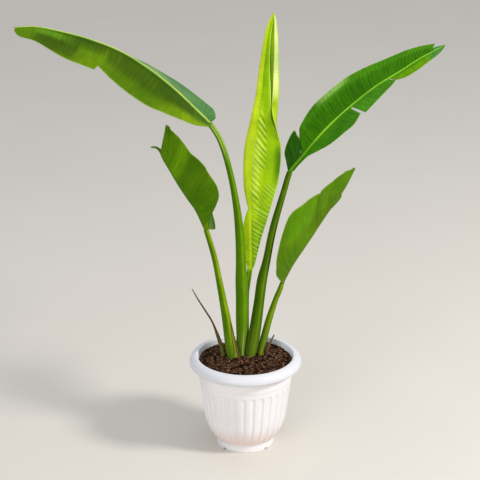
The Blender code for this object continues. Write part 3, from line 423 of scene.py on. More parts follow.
PATCHES["leaf_centre"] = (
    ("near", -0.1, 0.18, -0.2, 1.2, 0.06, 0.2, 1, 0.9, (0.25, 0.47, 0.001)),
    ("near", 0.1, 0.16, 0.85, 1.2, 0.06, 0.25, 1, 0.8, (0.14, 0.3, 0.001)),
    # Painted highlight along the glossy band.
    ("near", 0.24, 0.62, -0.2, 0.25, 0.08, 0.25, 1, 0.9, (0.5, 0.75, 0.004)),
    # Painted whitish highlight in the band.
    ("near", 0.33, 0.5, 0.08, 0.22, 0.06, 0.1, 1, 0.8, (0.6, 0.85, 0.06)),
    # Painted shade where the surface turns from the light at the margin.
    ("near", 0.41, 0.46, 0.92, 1.2, 0.1, 0.24, 1, 0.95, (0.07, 0.2, 0.001)),
    ("near", 0.76, 1.1, -0.2, 1.2, 0.1, 0.2, 1, 0.9, (0.215, 0.44, 0.001)),
    ("near", 0.92, 1.1, 0.45, 1.2, 0.08, 0.35, 1, 0.8, (0.34, 0.62, 0.001)),
    ("near", 0.66, 1.1, 0.9, 1.2, 0.08, 0.2, 1, 0.7, (0.35, 0.66, 0.002)),
    # Painted light on the far half's lower strip.
    ("far", -0.1, 0.22, 0.2, 1.2, 0.05, 0.2, 1, 0.9, (0.6, 0.98, 0.004)),
    ("far", 0.6, 1.1, 0.5, 0.8, 0.06, 0.2, 1, 0.9, (0.42, 0.6, 0.006)),
    # Painted white highlight along the rolled back half.
    ("far", 0.76, 1.1, 0.93, 1.2, 0.12, 0.12, 1, 0.95, (0.8, 0.93, 0.36)),
    # Painted highlight on the near half's margin beside it.
    ("near", 0.7, 1.1, 0.97, 1.2, 0.06, 0.05, 1, 0.8, (0.72, 0.9, 0.3)),
    ("far", 0.5, 0.66, 0.8, 1.2, 0.04, 0.12, 1, 0.9, (0.36, 0.56, 0.006)),
)

# Surface of the leaves: veins' spacing, tones of the blotches, strength of the broad and the fine stripes,
# roughness, gloss, share and tone of the light that passes through
LEAF_LOOKS = {
    "vein": 0.0011,
    "dark": (0.82, 0.86, 0.85),
    "light": (1.2, 1.12, 1.15),
    "stripes": 0.24,
    "fine": 0.08,
    "rough": 0.44,
    "gloss": 0.1,
    "through": 0.22,
    "through_tone": (1.8, 1.5, 0.5),
}
LEAF_CHANGES = {
    "leaf_upper_right": {"stripes": 0.3},
    "leaf_centre": {"through_tone": (1.1, 1.1, 0.8), "stripes": 0.08, "fine": 0.04, "gloss": 0.22},
}
LEAF_SHEEN = (0.85, 1.0, 0.4)
LEAF_SPECK = (0.1, 0.07, 0.02)
VEIN_WANDER = 0.004
STRIPE_RATE = 420.0
STALK_RATE = 9.0
DRY_DARK = (0.05, 0.02, 0.008)
DRY_LIGHT = (0.22, 0.125, 0.055)
DRY_LIVING = (0.14, 0.17, 0.02)

# Pot, with flutes that end in arches at the top
FLUTES = 32
FLUTE_CENTRE = math.radians(-1.7)
FLUTE_HALF = math.radians(3.15)
FLUTE_DEPTH = 0.0018
FLUTE_CURVE = 0.6
FLUTE_FOOT = (0.0162, 0.0205)
FLUTE_TOP = 0.1225
FLUTE_ARCH = 0.006
FLUTE_STEPS = 6
LAND_STEPS = 4
POT_STRIDE = 0.0026
FINE_STRIDE = 0.0007
ROUND_LIMIT = 0.45
ROUND_POINTS = 5
RIM_TOP = 0.17
RIM_INNER = 0.0872
# Radius, height and rounding of each corner, in millimetres
POT_OUTLINE = (
    (48, 16.5, 0), (49.5, 0, 0.8), (53, 0, 1), (53.5, 11.8, 0), (54, 14, 1), (60, 20.5, 4), (66.5, 31.2, 8),
    (71.5, 43.5, 8), (74.8, 57, 8), (77.4, 75, 8), (82.8, 118, 0), (84.6, 133, 0.5), (85.6, 134, 0.5),
    (87.2, 154, 1.2), (99.5, 156.2, 2), (102, 159.5, 2.2), (102, 164, 2.2), (99, 170.5, 3), (93.1, 174.2, 3),
    (89.6, 175.2, 2), (87.2, 174.2, 1.6), (86.4, 169, 1), (84.2, 150, 0), (79, 118, 0), (76.8, 98, 8),
    (73, 72, 8), (69, 52, 8), (62.5, 34.5, 8), (56, 25, 4), (50, 20, 2),
)
DRAIN_RADIUS = 0.0045
DRAIN_REACH = 0.033
DRAIN_MIDDLE = 0.018
DRAIN_LENGTH = 0.02
DRAIN_SIDES = 24
NOTCH_HALF = 0.0035
NOTCH_HEIGHT = 0.0032
NOTCH_TURNS = (45, 135, 225, 315)
POT_DARK = (0.74, 0.715, 0.735)
POT_LIGHT = (0.8, 0.775, 0.785)
# Painted shade: the rim is darker and bluer than the body.
POT_RIM_SHADE = (0.63, 0.63, 0.67)
# Painted warm reflection of the floor on the body just above the foot.
POT_GROUND_REFLECTION = (0.78, 0.54, 0.45)
# Painted light: the inner wall above the soil is made lighter than the body.
POT_INSIDE_LIGHT = (0.88, 0.9, 0.94)
POT_DUST = (0.42, 0.36, 0.3)

# Soil
SOIL_EDGE_HEIGHT = 0.1635
SOIL_MOUND = 0.005
SOIL_CLUMP = 0.0021
SOIL_CLUMP_RATE = 130
SOIL_RADIUS = 0.085
SOIL_SIDES = 200
SOIL_RINGS = 62
SOIL_WALL = (
    (0.0496, 0.0203), (0.0556, 0.025), (0.0621, 0.0345), (0.0686, 0.052),
    (0.0726, 0.072), (0.0764, 0.098), (0.0786, 0.118), (0.0838, 0.15),
)
SOIL_DARK = (0.006, 0.002, 0.001)
SOIL_LIGHT = (0.1, 0.046, 0.022)
SOIL_PALE = (0.36, 0.2, 0.13)
SOIL_WARM = (0.11, 0.035, 0.018)
CRUMBS = 1300
CRUMB_SEED = 11
CRUMB_LEAST = 0.0006
CRUMB_SPREAD = 0.003
CRUMB_EDGE = 0.0015
CRUMB_LIFT = 0.15
CRUMB_ROUGH = 0.35
CRUMB_ROUGH_RATE = 1.7

# Studio: name, place, target, size, power and colour of each light
LIGHTS = (
    ("key", (2.5, -1.0, 2.2), (0, 0, 0.35), 0.7, 85, (1.0, 0.98, 0.94)),
    ("overhead", (0, 0, 3.0), (0, 0, 0.3), 2.6, 6, (0.93, 0.96, 1.0)),
    ("fill", (-1.2, -2.6, 1.3), (0, 0, 0.35), 1.6, 26, (1.0, 0.99, 0.97)),
)
SKY_COLOUR = (0.9, 0.93, 0.96, 1)
SKY_STRENGTH = 0.72
FLOOR_CORNERS = ((-6, -6, 0), (6, -6, 0), (6, 8, 0), (-6, 8, 0))
FLOOR_DARK = (0.62, 0.58, 0.53)
FLOOR_LIGHT = (0.66, 0.62, 0.57)


def smooth(low, high, value):
    share = np.clip((value - low) / (high - low), 0, 1)
    return share * share * (3 - 2 * share)


def window(value, low, high, soft):
    """1 between low and high, falling to 0 over the softness on both sides."""
    return smooth(low - soft, low, value) * (1 - smooth(high, high + soft, value))


def toned(colour, tone, share):
    """Rows of colour moved towards one tone by each row's share."""
    colour += (np.array(tone) - colour) * share[:, None]


def in_metres(rows, *columns):
    """The rows with the lengths in these columns turned from millimetres to metres."""
    return [tuple(round(v / 1000, 7) if k in columns else v for k, v in enumerate(row)) for row in rows]


def add_object(name, data):
    made = bpy.data.objects.new(name, data)
    bpy.context.scene.collection.objects.link(made)
    return made


def add_piece(name, points, faces, look, nodes):
    mesh = bpy.data.meshes.new(name)
    mesh.from_pydata([tuple(map(float, p)) for p in points], [], faces)
    mesh.polygons.foreach_set("use_smooth", [True] * len(mesh.polygons))
    piece = add_object(name, mesh)
    shape = bmesh.new()
    shape.from_mesh(mesh)
    bmesh.ops.recalc_face_normals(shape, faces=shape.faces)
    if shape.calc_volume(signed=True) < 0:
        bmesh.ops.reverse_faces(shape, faces=shape.faces)
    shape.to_mesh(mesh)
    shape.free()
    mesh.set_sharp_from_angle(angle=math.radians(SHARP_ANGLE))
    mesh.materials.append(look)
    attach(piece, "root")
    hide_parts(*nodes)
    return piece


def add_values(mesh, name, values):
    attribute = mesh.attributes.new(name, "FLOAT", "POINT")
    attribute.data.foreach_set("value", np.asarray(values, np.float32).ravel())


def add_colours(mesh, name, colours):
    attribute = mesh.attributes.new(name, "FLOAT_COLOR", "POINT")
    rows = np.ones((len(colours), 4), np.float32)
    rows[:, :3] = colours
    attribute.data.foreach_set("color", rows.ravel())


def graded(rows, at):
    """The values of the rows at one place, joined smoothly from row to row."""
    if at <= rows[0][0]:
        return rows[0][1:]
    if at >= rows[-1][0]:
        return rows[-1][1:]
    i = bisect.bisect_right([row[0] for row in rows], at) - 1
    low, high = rows[i], rows[i + 1]
    span = high[0] - low[0]
    share = (at - low[0]) / span
    values = []
    for k in range(1, len(low)):
        rise = (high[k] - low[k]) / span
        start = rise if i == 0 else (high[k] - rows[i - 1][k]) / (high[0] - rows[i - 1][0])
        last = i + 2 == len(rows)
        end = rise if last else (rows[i + 2][k] - low[k]) / (rows[i + 2][0] - low[0])
        a = low[k] * (1 + 2 * share) * (1 - share) ** 2
        b = high[k] * (3 - 2 * share) * share**2
        c = (start * (1 - share) - end * share) * share * (1 - share) * span
        values.append(a + b + c)
    return values


def path_rows(points):
    """Rows of distance along the path and x, y, z."""
    rows = [(0.0, *points[0])]
    for previous, point in zip(points, points[1:]):
        rows.append((rows[-1][0] + math.dist(previous, point), *point))
    return rows


def path_axes(rows, at, side, hand):
    """The point, the direction along, the side direction and the upper side's direction."""
    point = Vector(graded(rows, at))
    low, high = max(at - STEP, 0), min(at + STEP, rows[-1][0])
    along = (Vector(graded(rows, high)) - Vector(graded(rows, low))).normalized()
    across = (side - along * along.dot(side)).normalized()
    return point, along, across, along.cross(across) * hand


def half_at(pieces, at):
    """The values of one half of a blade, narrowed to the rib inside a tear."""
    for piece in pieces:
        if piece[0][0] <= at <= piece[-1][0]:
            return graded(piece, at)
    before = [piece[-1] for piece in pieces if piece[-1][0] < at][-1]
    return (TEAR_WIDTH, before[2], 0, before[4])


def rolled_heading(at, share):
    """Heading of the back half of the rolled leaf at one share of its width."""
    if at < ROLL_FOOT_ENDS:
        return graded(ROLL_FOOT, share)[0]
    wrap = min(max((at - ROLL_STARTS) / (ROLL_FULL - ROLL_STARTS), 0), 1)
    return graded(ROLL_OPEN, share)[0] * (1 - wrap) + graded(ROLL_WRAPPED, share)[0] * wrap


def relief(name, side, at, reach, width, shares):
    """Height of the ripples and of the margin's slow waves over the middle surface, and the crests."""
    rise, crest = np.zeros((2, len(shares)))
    soft_along, soft_across = RIPPLE_SOFT
    for half, start, end, low, high, pitch, height, slant in RIPPLES[name]:
        if half == side:
            held = window(at, start, end, soft_along) * window(shares, low, high, soft_across)
            run = reach + slant * width * shares
            row = pitch * RIPPLE_DRIFT_ROWS
            drift = np.array([noise.noise(Vector((x * RIPPLE_DRIFT_RATE, len(name), row))) for x in run])
            swing = held * (1 + drift) * np.sin(2 * math.pi * run / pitch + RIPPLE_DRIFT * drift)
            rise += height * swing
            crest += swing * height / CREST_HEIGHT
    wave = noise.noise(Vector((reach * WAVE_RATE, len(name) + (side == "far") * FAR_WAVE_ROW, 0.5)))
    return rise + WAVE_HEIGHT * wave * shares**2, crest


def half_rows(leaf, name, side, at, reach, start, strips):
    """Across, up, along and turn of the middle surface at each strip of one half, its shares and crests."""
    width, lift, curl, lean = half_at(leaf[side], at)
    shares = np.linspace(0, 1, strips + 1)
    middles = (shares[1:] + shares[:-1]) / 2
    if leaf.get("rolled") and side == "far":
        turns, ends = (np.radians([rolled_heading(at, s) for s in row]) for row in (middles, shares))
    else:
        turns, ends = (np.radians(lift + curl * row) for row in (middles, shares))
    across = start[0] + np.concatenate([[0], np.cumsum(np.cos(turns))]) * width / strips
    up = start[1] + np.concatenate([[0], np.cumsum(np.sin(turns))]) * width / strips
    rise, crest = 0 * shares, 0 * shares
    if width > 2 * TEAR_WIDTH:
        rise, crest = relief(name, side, at, reach, width, shares)
    across = across - np.sin(ends) * rise
    up = up + np.cos(ends) * rise
    return across, up, width * lean * shares * (0.5 + 0.5 * shares), ends, shares, crest


def blade_ring(leaf, name, at, reach, strips):
    """Upper and lower rows of offsets across, up and along, and each column's place across and its crest."""
    half, keel = graded(leaf["rib_size"], at)
    near_lift, far_lift = half_at(leaf["near"], at)[1], half_at(leaf["far"], at)[1]
    roll = 0 if leaf.get("rolled") else math.radians(near_lift - abs(far_lift)) / 2
    upper, lower, places, crests = [], [], [], []
    for sign, side in ((-1, "far"), (1, "near")):
        start = (half * math.cos(roll), half * math.sin(roll) * sign)
        across, up, lean, ends, shares, crest = half_rows(leaf, name, side, at, reach, start, strips)
        shift = np.stack([-np.sin(ends), np.cos(ends)]) * HALF_THICKNESS
        top = np.stack([(across + shift[0]) * sign, up + shift[1], lean], axis=1)
        bottom = np.stack([(across - shift[0]) * sign, up - shift[1], lean], axis=1)
        for rows, row in ((upper, top), (lower, bottom), (places, shares * sign), (crests, crest)):
            rows.append(row[1:][::sign])
    t = np.linspace(-1, 1, RIB_COLUMNS)
    line = np.stack([t * half * math.cos(roll), t * half * math.sin(roll), 0 * t], axis=1)
    normal = np.array([-math.sin(roll), math.cos(roll), 0])
    ridge = HALF_THICKNESS + RIB_RISES.get(name, RIB_RISE) * half * (1 - t**2)
    groove = HALF_THICKNESS + keel * np.sqrt(np.maximum(1 - t**2, 0)) * (1 - KEEL_FLAT * t**2)
    upper.insert(1, line + normal * ridge[:, None])
    lower.insert(1, line - normal * groove[:, None])
    places.insert(1, t * RIB_PLACES)
    crests.insert(1, 0 * t)
    return [np.concatenate(rows) for rows in (upper, lower, places, crests)]


def stalk_ring(half, depth, strips):
    outer = np.linspace(RIB_SHARE, 1, strips + 1)[1:]
    share = np.concatenate([-outer[::-1], np.linspace(-RIB_SHARE, RIB_SHARE, RIB_COLUMNS), outer])
    across = half * np.sin(share * math.pi / 2)
    arch = depth * np.cos(share * math.pi / 2)
    channel = CHANNEL * depth * np.cos(np.clip(share * CHANNEL_NARROW, -1, 1) * math.pi / 2) ** 2
    upper = np.stack([across, arch - channel + HALF_THICKNESS, 0 * share], axis=1)
    lower = np.stack([across, -arch - HALF_THICKNESS, 0 * share], axis=1)
    return upper, lower, share, 0 * share


def blade_stations(leaf, length):
    """Shares of the blade's length at an even stride, with the ends of the tears and their narrow middles."""
    fixed = [0.0, 1.0]
    for pieces in (leaf["near"], leaf["far"]):
        for before, after in zip(pieces, pieces[1:]):
            fixed += [before[-1][0], (before[-1][0] + after[0][0]) / 2, after[0][0]]
    stations = [0.0]
    for low, high in zip(sorted(fixed), sorted(fixed)[1:]):
        parts = max(1, math.ceil((high - low) * length / BLADE_STRIDE))
        stations += [low + (high - low) * k / parts for k in range(1, parts + 1)]
    return [s for s in stations if s > 0]


def leaf_skin(name, leaf, strips):
    """Points of all the rings, the facts of each point for its colour, and the blade's length."""
    rows = path_rows(leaf["stalk"] + leaf["blade"])
    stalk_length = rows[len(leaf["stalk"]) - 1][0]
    blade_length = rows[-1][0] - stalk_length
    middle = np.abs(np.arange(2 * strips + RIB_COLUMNS) - strips - RIB_COLUMNS // 2)
    is_rib = np.clip(RIB_CORE - middle / (RIB_COLUMNS // 2), 0, 1)
    points, facts = [], []

    def place(at, upper, lower, places, crests):
        point, along, across, up = path_axes(rows, at, leaf["side"], leaf["hand"])
        axes = np.array([across, up, along])
        for row, above in ((upper, 1.0), (lower, 0.0)):
            points.append(np.array(point) + row @ axes)
            level, face = np.full_like(places, at - stalk_length), np.full_like(places, above)
            facts.append(np.stack([level, places, face, is_rib, crests * (2 * above - 1)], axis=1))

    count = math.ceil(stalk_length / STALK_STRIDE)
    for i in range(count + 1):
        share = i / count
        place(share * stalk_length, *stalk_ring(*graded(leaf["stalk_size"], share), strips))
    stalk = stalk_ring(*graded(leaf["stalk_size"], 1), strips)
    for at in blade_stations(leaf, blade_length):
        mix = min(at / JOIN, 1)
        blade = blade_ring(leaf, name, at, at * blade_length, strips)
        place(stalk_length + at * blade_length, *(s + (b - s) * mix for s, b in zip(stalk, blade)))
    return np.array(points), np.concatenate(facts), blade_length


def loft_faces(rings, width):
    """Quads of the two rows of every ring, their edge walls and the two ends."""
    faces = []
    for i in range(rings - 1):
        a, b = 2 * i * width, 2 * (i + 1) * width
        faces += [(a + j, a + j + 1, b + j + 1, b + j) for j in range(width - 1)]
        c, d = a + width, b + width
        faces += [(d + j, d + j + 1, c + j + 1, c + j) for j in range(width - 1)]
        faces.append((a, b, d, c))
        faces.append((c - 1, c + width - 1, d + width - 1, d - 1))
    for a, flip in ((0, True), (2 * (rings - 1) * width, False)):
        for j in range(width - 1):
            quad = (a + j, a + j + 1, a + width + j + 1, a + width + j)
            faces.append(quad[::-1] if flip else quad)
    return faces


def leaf_tint(name, facts, blade_length):
    """Base colour of every point from the half, the face, the rib, the margin, the stalk and the patches."""
    along, across, above, rib, crest = facts.T
    near, far, under, rib_tone, stalk_tone, stalk_highlight_tone = (np.array(c) for c in LOOKS[name])
    on_near = smooth(-HALVES_MEET, HALVES_MEET, across)
    colour = far + (near - far) * on_near[:, None]
    colour = colour * above[:, None] + under * (1 - above[:, None])
    at = along / blade_length
    rib_colour = rib_tone + 0 * colour
    stalk = stalk_tone + 0 * colour
    # Painted highlight along the stalk's edges and on the upper face that faces the light.
    stalk_highlight = smooth(STALK_HIGHLIGHT_STARTS, 1.0, np.abs(across))
    toned(stalk, stalk_highlight_tone, np.maximum(stalk_highlight, STALK_UPPER_HIGHLIGHT.get(name, 0) * above))
    foot = 1 - smooth(*STALK_BASE_REACH, along - along.min())
    toned(stalk, STALK_BASE, foot * STALK_BASE_SHARE)
    layers = {
        "near": (colour, 1, on_near),
        "far": (colour, -1, 1 - on_near),
        "rib": (rib_colour, 0, 1),
        "stalk": (stalk, 1, 1),
    }
    for half, start, end, low, high, soft_at, soft_across, face, strength, tone in PATCHES[name]:
        layer, sign, held = layers[half]
        held = held * window(at, start, end, soft_at)
        held = held * window(sign * across, low, high, soft_across) * strength
        if face is not None:
            held = held * (above if face else 1 - above)
        toned(layer, tone, held)
    # Painted shade in the ripples' troughs and painted highlight on their crests.
    if name in CREST_HIGHLIGHT_TROUGH_SHADE:
        dark, light, tone = CREST_HIGHLIGHT_TROUGH_SHADE[name]
        colour *= 1 - dark * np.clip(-crest, 0, 1)[:, None]
        toned(colour, tone, light * np.clip(crest, 0, 1))
    margin = smooth(MARGIN_STARTS, 1.0, np.abs(across)) * MARGIN_SHARE
    toned(colour, MARGIN_COLOURS.get(name, MARGIN_COLOUR), margin)
    on_blade = smooth(*BLADE_FOOT, along)
    toned(colour, rib_colour, smooth(*RIB_EDGE, rib) * on_blade)
    return stalk + (colour - stalk) * on_blade[:, None]


class Graph:
    """Adds nodes to one material's tree and links them."""

    def __init__(self, name):
        self.material = bpy.data.materials.new(name)
        self.material.use_nodes = True
        self.tree = self.material.node_tree
        self.shader = self.tree.nodes["Principled BSDF"]
        self.output = self.tree.nodes["Material Output"]

    def set(self, socket, value):
        if isinstance(value, bpy.types.NodeSocket):
            self.tree.links.new(value, socket)
        elif socket.type == "RGBA":
            socket.default_value = (*value, 1)
        else:
            socket.default_value = value

    def surface(self, **values):
        """Sets the shader's inputs; an underscore stands for a space in the input's name."""
        for key, value in values.items():
            self.set(self.shader.inputs[key.replace("_", " ")], value)

    def node(self, kind, inputs=(), **settings):
        made = self.tree.nodes.new(kind)
        for key, value in settings.items():
            setattr(made, key, value)
        for key, value in dict(inputs).items():
            self.set(made.inputs[key], value)
        return made

    def attribute(self, name, colour=False):
        made = self.node("ShaderNodeAttribute", attribute_name=name)
        return made.outputs["Color" if colour else "Fac"]

    def math(self, operation, *values):
        made = self.node("ShaderNodeMath", operation=operation)
        for socket, value in zip(made.inputs, values):
            self.set(socket, value)
        return made.outputs[0]

    def times(self, a, b):
        return self.math("MULTIPLY", a, b)

    def spread(self, value, low, high, out_low=0.0, out_high=1.0):
        inputs = {"Value": value, "From Min": low, "From Max": high, "To Min": out_low, "To Max": out_high}
        return self.node("ShaderNodeMapRange", inputs).outputs["Result"]

    def place(self, x=0.0, y=0.0, z=0.0):
        return self.node("ShaderNodeCombineXYZ", {"X": x, "Y": y, "Z": z}).outputs[0]

    def blend(self, share, a, b):
        """A value between a and b."""
        kept = self.times(a, self.math("SUBTRACT", 1.0, share))
        return self.math("ADD", kept, self.times(b, share))

    def object_place(self):
        return self.node("ShaderNodeTexCoord").outputs["Object"]

    def noise(self, vector, scale, detail=2.0, roughness=0.5):
        inputs = {"Vector": vector, "Scale": scale, "Detail": detail, "Roughness": roughness}
        return self.node("ShaderNodeTexNoise", inputs).outputs["Fac"]

    def mix(self, share, a, b, blend="MIX"):
        made = self.node("ShaderNodeMix", data_type="RGBA", blend_type=blend)
        self.set(made.inputs[0], share)
        self.set(made.inputs[6], a)
        self.set(made.inputs[7], b)
        return made.outputs[2]

    def tinted(self, colour, tone):
        return self.mix(1.0, colour, tone, "MULTIPLY")

    def cover(self, colour, tone, strength, share):
        """The colour under a layer of one tone."""
        return self.mix(self.times(share, strength), colour, tone)

    def bump(self, height, distance, strength=1.0):
        inputs = {"Height": height, "Distance": distance, "Strength": strength}
        self.surface(Normal=self.node("ShaderNodeBump", inputs).outputs["Normal"])

    def glow_through(self, share, colour):
        """Mixes light that passes through the blade into the surface."""
        through = self.node("ShaderNodeBsdfTranslucent", {"Color": colour})
        both = self.node("ShaderNodeMixShader", {0: share, 1: self.shader.outputs[0], 2: through.outputs[0]})
        self.tree.links.new(both.outputs[0], self.output.inputs["Surface"])


def leaf_material(name, look):
    graph = Graph(name)
    tint = graph.attribute("tint", colour=True)
    along, across = graph.attribute("along"), graph.attribute("across")
    place = graph.object_place()
    wander = graph.times(graph.noise(place, 30.0), VEIN_WANDER)
    veins = graph.math("SINE", graph.times(graph.math("ADD", along, wander), 2 * math.pi / look["vein"]))
    on_blade = graph.spread(along, *BLADE_FOOT)
    stripes = graph.place(graph.times(along, STRIPE_RATE), graph.times(across, 1.2))
    grain = graph.place(graph.times(along, STALK_RATE), graph.times(across, STALK_RATE))
    stripes, grain = graph.noise(stripes, 1.0, 3.0, 0.65), graph.noise(grain, 1.0, 3.0, 0.6)
    stripes = graph.blend(on_blade, grain, stripes)
    blotches = graph.noise(place, 22.0, 3.0, 0.55)
    dark, light = graph.tinted(tint, look["dark"]), graph.tinted(tint, look["light"])
    colour = graph.mix(graph.spread(blotches, 0.35, 0.65), dark, light)
    striped = graph.spread(stripes, 0.3, 0.7, 1 - look["stripes"], 1 + look["stripes"])
    veins = graph.times(veins, on_blade)
    fine = graph.spread(veins, -1.0, 1.0, 1 - look["fine"], 1 + look["fine"])
    shade = {0: colour, "Scale": graph.times(striped, fine)}
    colour = graph.node("ShaderNodeVectorMath", shade, operation="SCALE").outputs[0]
    specks = graph.spread(graph.noise(place, 260.0, 1.0), 0.74, 0.80)
    colour = graph.cover(colour, LEAF_SPECK, 0.35, specks)
    rough = graph.spread(blotches, 0.3, 0.7, look["rough"] - 0.05, look["rough"] + 0.07)
    graph.surface(
        Base_Color=colour, Roughness=rough, Specular_IOR_Level=look["gloss"], Specular_Tint=LEAF_SHEEN
    )
    graph.bump(graph.math("ADD", graph.times(veins, 0.35), stripes), 0.00025, 0.8)
    graph.glow_through(look["through"], graph.tinted(colour, look["through_tone"]))
    return graph.material


def add_skin(name, points, faces, look, facts):
    piece = add_piece(name + "_skin", points, faces, look, [name])
    add_values(piece.data, "along", facts[:, 0])
    add_values(piece.data, "across", facts[:, 1])
    return piece


def make_leaf(name):
    leaf = dict(LEAVES[name])
    for key in ("stalk", "blade"):
        leaf[key] = in_metres(leaf[key], 0, 1, 2)
    for key in ("stalk_size", "rib_size"):
        leaf[key] = in_metres(leaf[key], 1, 2)
    for key in ("near", "far"):
        leaf[key] = [in_metres(piece, 1) for piece in leaf[key]]
    strips = ROLL_STRIPS if leaf.get("rolled") else STRIPS
    rings, facts, blade_length = leaf_skin(name, leaf, strips)
    faces = loft_faces(len(rings) // 2, rings.shape[1])
    look = leaf_material(name + "_surface", {**LEAF_LOOKS, **LEAF_CHANGES.get(name, {})})
    piece = add_skin(name, rings.reshape(-1, 3), faces, look, facts)
    add_colours(piece.data, "tint", leaf_tint(name, facts, blade_length))


def dry_material(name, green):
    graph = Graph(name)
    along, around = graph.attribute("along"), graph.attribute("across")
    streaks = graph.place(graph.times(along, 60.0), graph.times(around, 7.0))
    streaks = graph.noise(streaks, 1.0, 4.0, 0.6)
    colour = graph.mix(graph.spread(streaks, 0.32, 0.68), DRY_DARK, DRY_LIGHT)
    living = graph.spread(along, 0.03, 0.075, 0.8, 0.0)
    colour = graph.mix(living if green else 0.0, colour, DRY_LIVING)
    graph.surface(Base_Color=colour, Roughness=0.82, Specular_IOR_Level=0.15)
    graph.bump(streaks, 0.0006, 0.9)
    return graph.material


def make_dry(name):
    piece = DRY_PIECES[name]
    rows = path_rows(in_metres(piece["stalk"], 0, 1, 2))
    size = in_metres(piece["stalk_size"], 1, 2)
    length = rows[-1][0]
    count = math.ceil(length / DRY_STRIDE)
    along_rate, round_rate = DRY_WRINKLE_RATES
    points, facts = [], []
    for i in range(count + 1):
        at = i / count * length
        point, _, across, up = path_axes(rows, at, Vector((1, 0, 0)), 1)
        half, depth = graded(size, at / length)
        for row in (1, -1):
            for k in range(DRY_ROUND + 1):
                turn = math.pi * k / DRY_ROUND
                spot = (at * along_rate, math.cos(turn) * round_rate, row * math.sin(turn) * round_rate)
                wrinkle = 1 + DRY_WRINKLE * noise.noise(Vector(spot))
                out = half * wrinkle * math.cos(turn)
                rise = depth * wrinkle * math.sin(turn) + DRY_LEAST
                points.append(point - across * out + up * row * rise)
                facts.append((at, math.cos(turn) + 2 * (row < 0)))
    faces = loft_faces(count + 1, DRY_ROUND + 1)
    look = dry_material(name + "_surface", name == "dead_stalk_left")
    add_skin(name, points, faces, look, np.array(facts))


def rounded_outline(rows):
    """The outline with each corner rounded by its radius and long runs divided."""
    corners = [np.array(row[:2]) for row in rows]
    line = [corners[0]]
    for k in range(1, len(rows) - 1):
        before, corner, after = corners[k - 1], corners[k], corners[k + 1]
        back, ahead = before - corner, after - corner
        reach = min(rows[k][2], ROUND_LIMIT * np.linalg.norm(back), ROUND_LIMIT * np.linalg.norm(ahead))
        if reach < 1e-5:
            line.append(corner)
            continue
        first = corner + back / np.linalg.norm(back) * reach
        last = corner + ahead / np.linalg.norm(ahead) * reach
        for t in np.linspace(0, 1, ROUND_POINTS):
            line.append(first * (1 - t) ** 2 + corner * 2 * t * (1 - t) + last * t**2)
    line.append(corners[-1])
    fine = [line[0]]
    for low, high in zip(line, line[1:]):
        at_arch = low[1] < high[1] and low[1] < FLUTE_TOP and high[1] > FLUTE_TOP - FLUTE_ARCH
        stride = FINE_STRIDE if at_arch else POT_STRIDE
        parts = max(1, math.ceil(np.linalg.norm(high - low) / stride))
        fine += [low + (high - low) * t / parts for t in range(1, parts + 1)]
    return fine


def flute_turns():
    """Angles round the pot: close together in the flutes, wide on the lands between them."""
    steps = range(-FLUTE_STEPS, FLUTE_STEPS + 1)
    inside = [FLUTE_HALF * math.sin(math.pi / 2 * k / FLUTE_STEPS) for k in steps]
    pitch = 2 * math.pi / FLUTES
    land = [FLUTE_HALF + (pitch - 2 * FLUTE_HALF) * k / LAND_STEPS for k in range(1, LAND_STEPS)]
    return [(FLUTE_CENTRE + k * pitch + offset, offset) for k in range(FLUTES) for offset in inside + land]


def flute_depth(radius, height, offset):
    if abs(offset) >= FLUTE_HALF or height >= FLUTE_TOP:
        return 0.0
    half = FLUTE_HALF * radius
    arch = max(height - (FLUTE_TOP - half), 0)
    away = math.hypot(offset * radius, arch) / half
    return FLUTE_DEPTH * float(smooth(*FLUTE_FOOT, height)) * max(1 - away**2, 0) ** FLUTE_CURVE


def notched(height, x, y):
    """Height of the foot's lower edge, raised in the notches."""
    for turn in NOTCH_TURNS:
        angle = math.radians(turn)
        out = x * math.sin(angle) - y * math.cos(angle)
        aside = abs(x * math.cos(angle) + y * math.sin(angle))
        if out > 0 and aside < NOTCH_HALF:
            return max(height, NOTCH_HEIGHT)
    return height


def make_pot():
    outline = rounded_outline(in_metres(POT_OUTLINE, 0, 1, 2))
    turns = flute_turns()
    sides = len(turns)
    points, faces = [], []
    outside = True
    above = 0
    for k, (radius, height) in enumerate(outline):
        outside = outside and not (above > RIM_TOP and height < above and radius < RIM_INNER)
        above = height
        for turn, offset in turns:
            reach = radius - (flute_depth(radius, height, offset) if outside else 0)
            x, y = reach * math.sin(turn), -reach * math.cos(turn)
            points.append((x, y, notched(height, x, y) if height < NOTCH_HEIGHT else height))
        if k:
            a, b = (k - 1) * sides, k * sides
            faces += [(a + i, a + (i + 1) % sides, b + (i + 1) % sides, b + i) for i in range(sides)]
    faces.append(tuple(range(sides))[::-1])
    faces.append(tuple(range(len(points) - sides, len(points))))
    cut_drains(add_piece("pot_shell", points, faces, pot_material(), ["pot"]))


def cut_drains(pot):
    drills = []
    for turn in NOTCH_TURNS:
        angle = math.radians(turn)
        mesh = bpy.data.meshes.new("drill")
        shape = bmesh.new()
        size = {"radius1": DRAIN_RADIUS, "radius2": DRAIN_RADIUS, "depth": DRAIN_LENGTH}
        bmesh.ops.create_cone(shape, cap_ends=True, segments=DRAIN_SIDES, **size)
        middle = (DRAIN_REACH * math.sin(angle), -DRAIN_REACH * math.cos(angle), DRAIN_MIDDLE)
        bmesh.ops.translate(shape, verts=shape.verts, vec=middle)
        shape.to_mesh(mesh)
        shape.free()
        drills.append(add_object("drill", mesh))
        modifier = pot.modifiers.new("drain", "BOOLEAN")
        modifier.operation = "DIFFERENCE"
        modifier.solver = "EXACT"
        modifier.object = drills[-1]
    bpy.context.view_layer.update()
    done = bpy.data.meshes.new_from_object(pot.evaluated_get(bpy.context.evaluated_depsgraph_get()))
    pot.modifiers.clear()
    pot.data = done
    for drill in drills:
        bpy.data.objects.remove(drill, do_unlink=True)


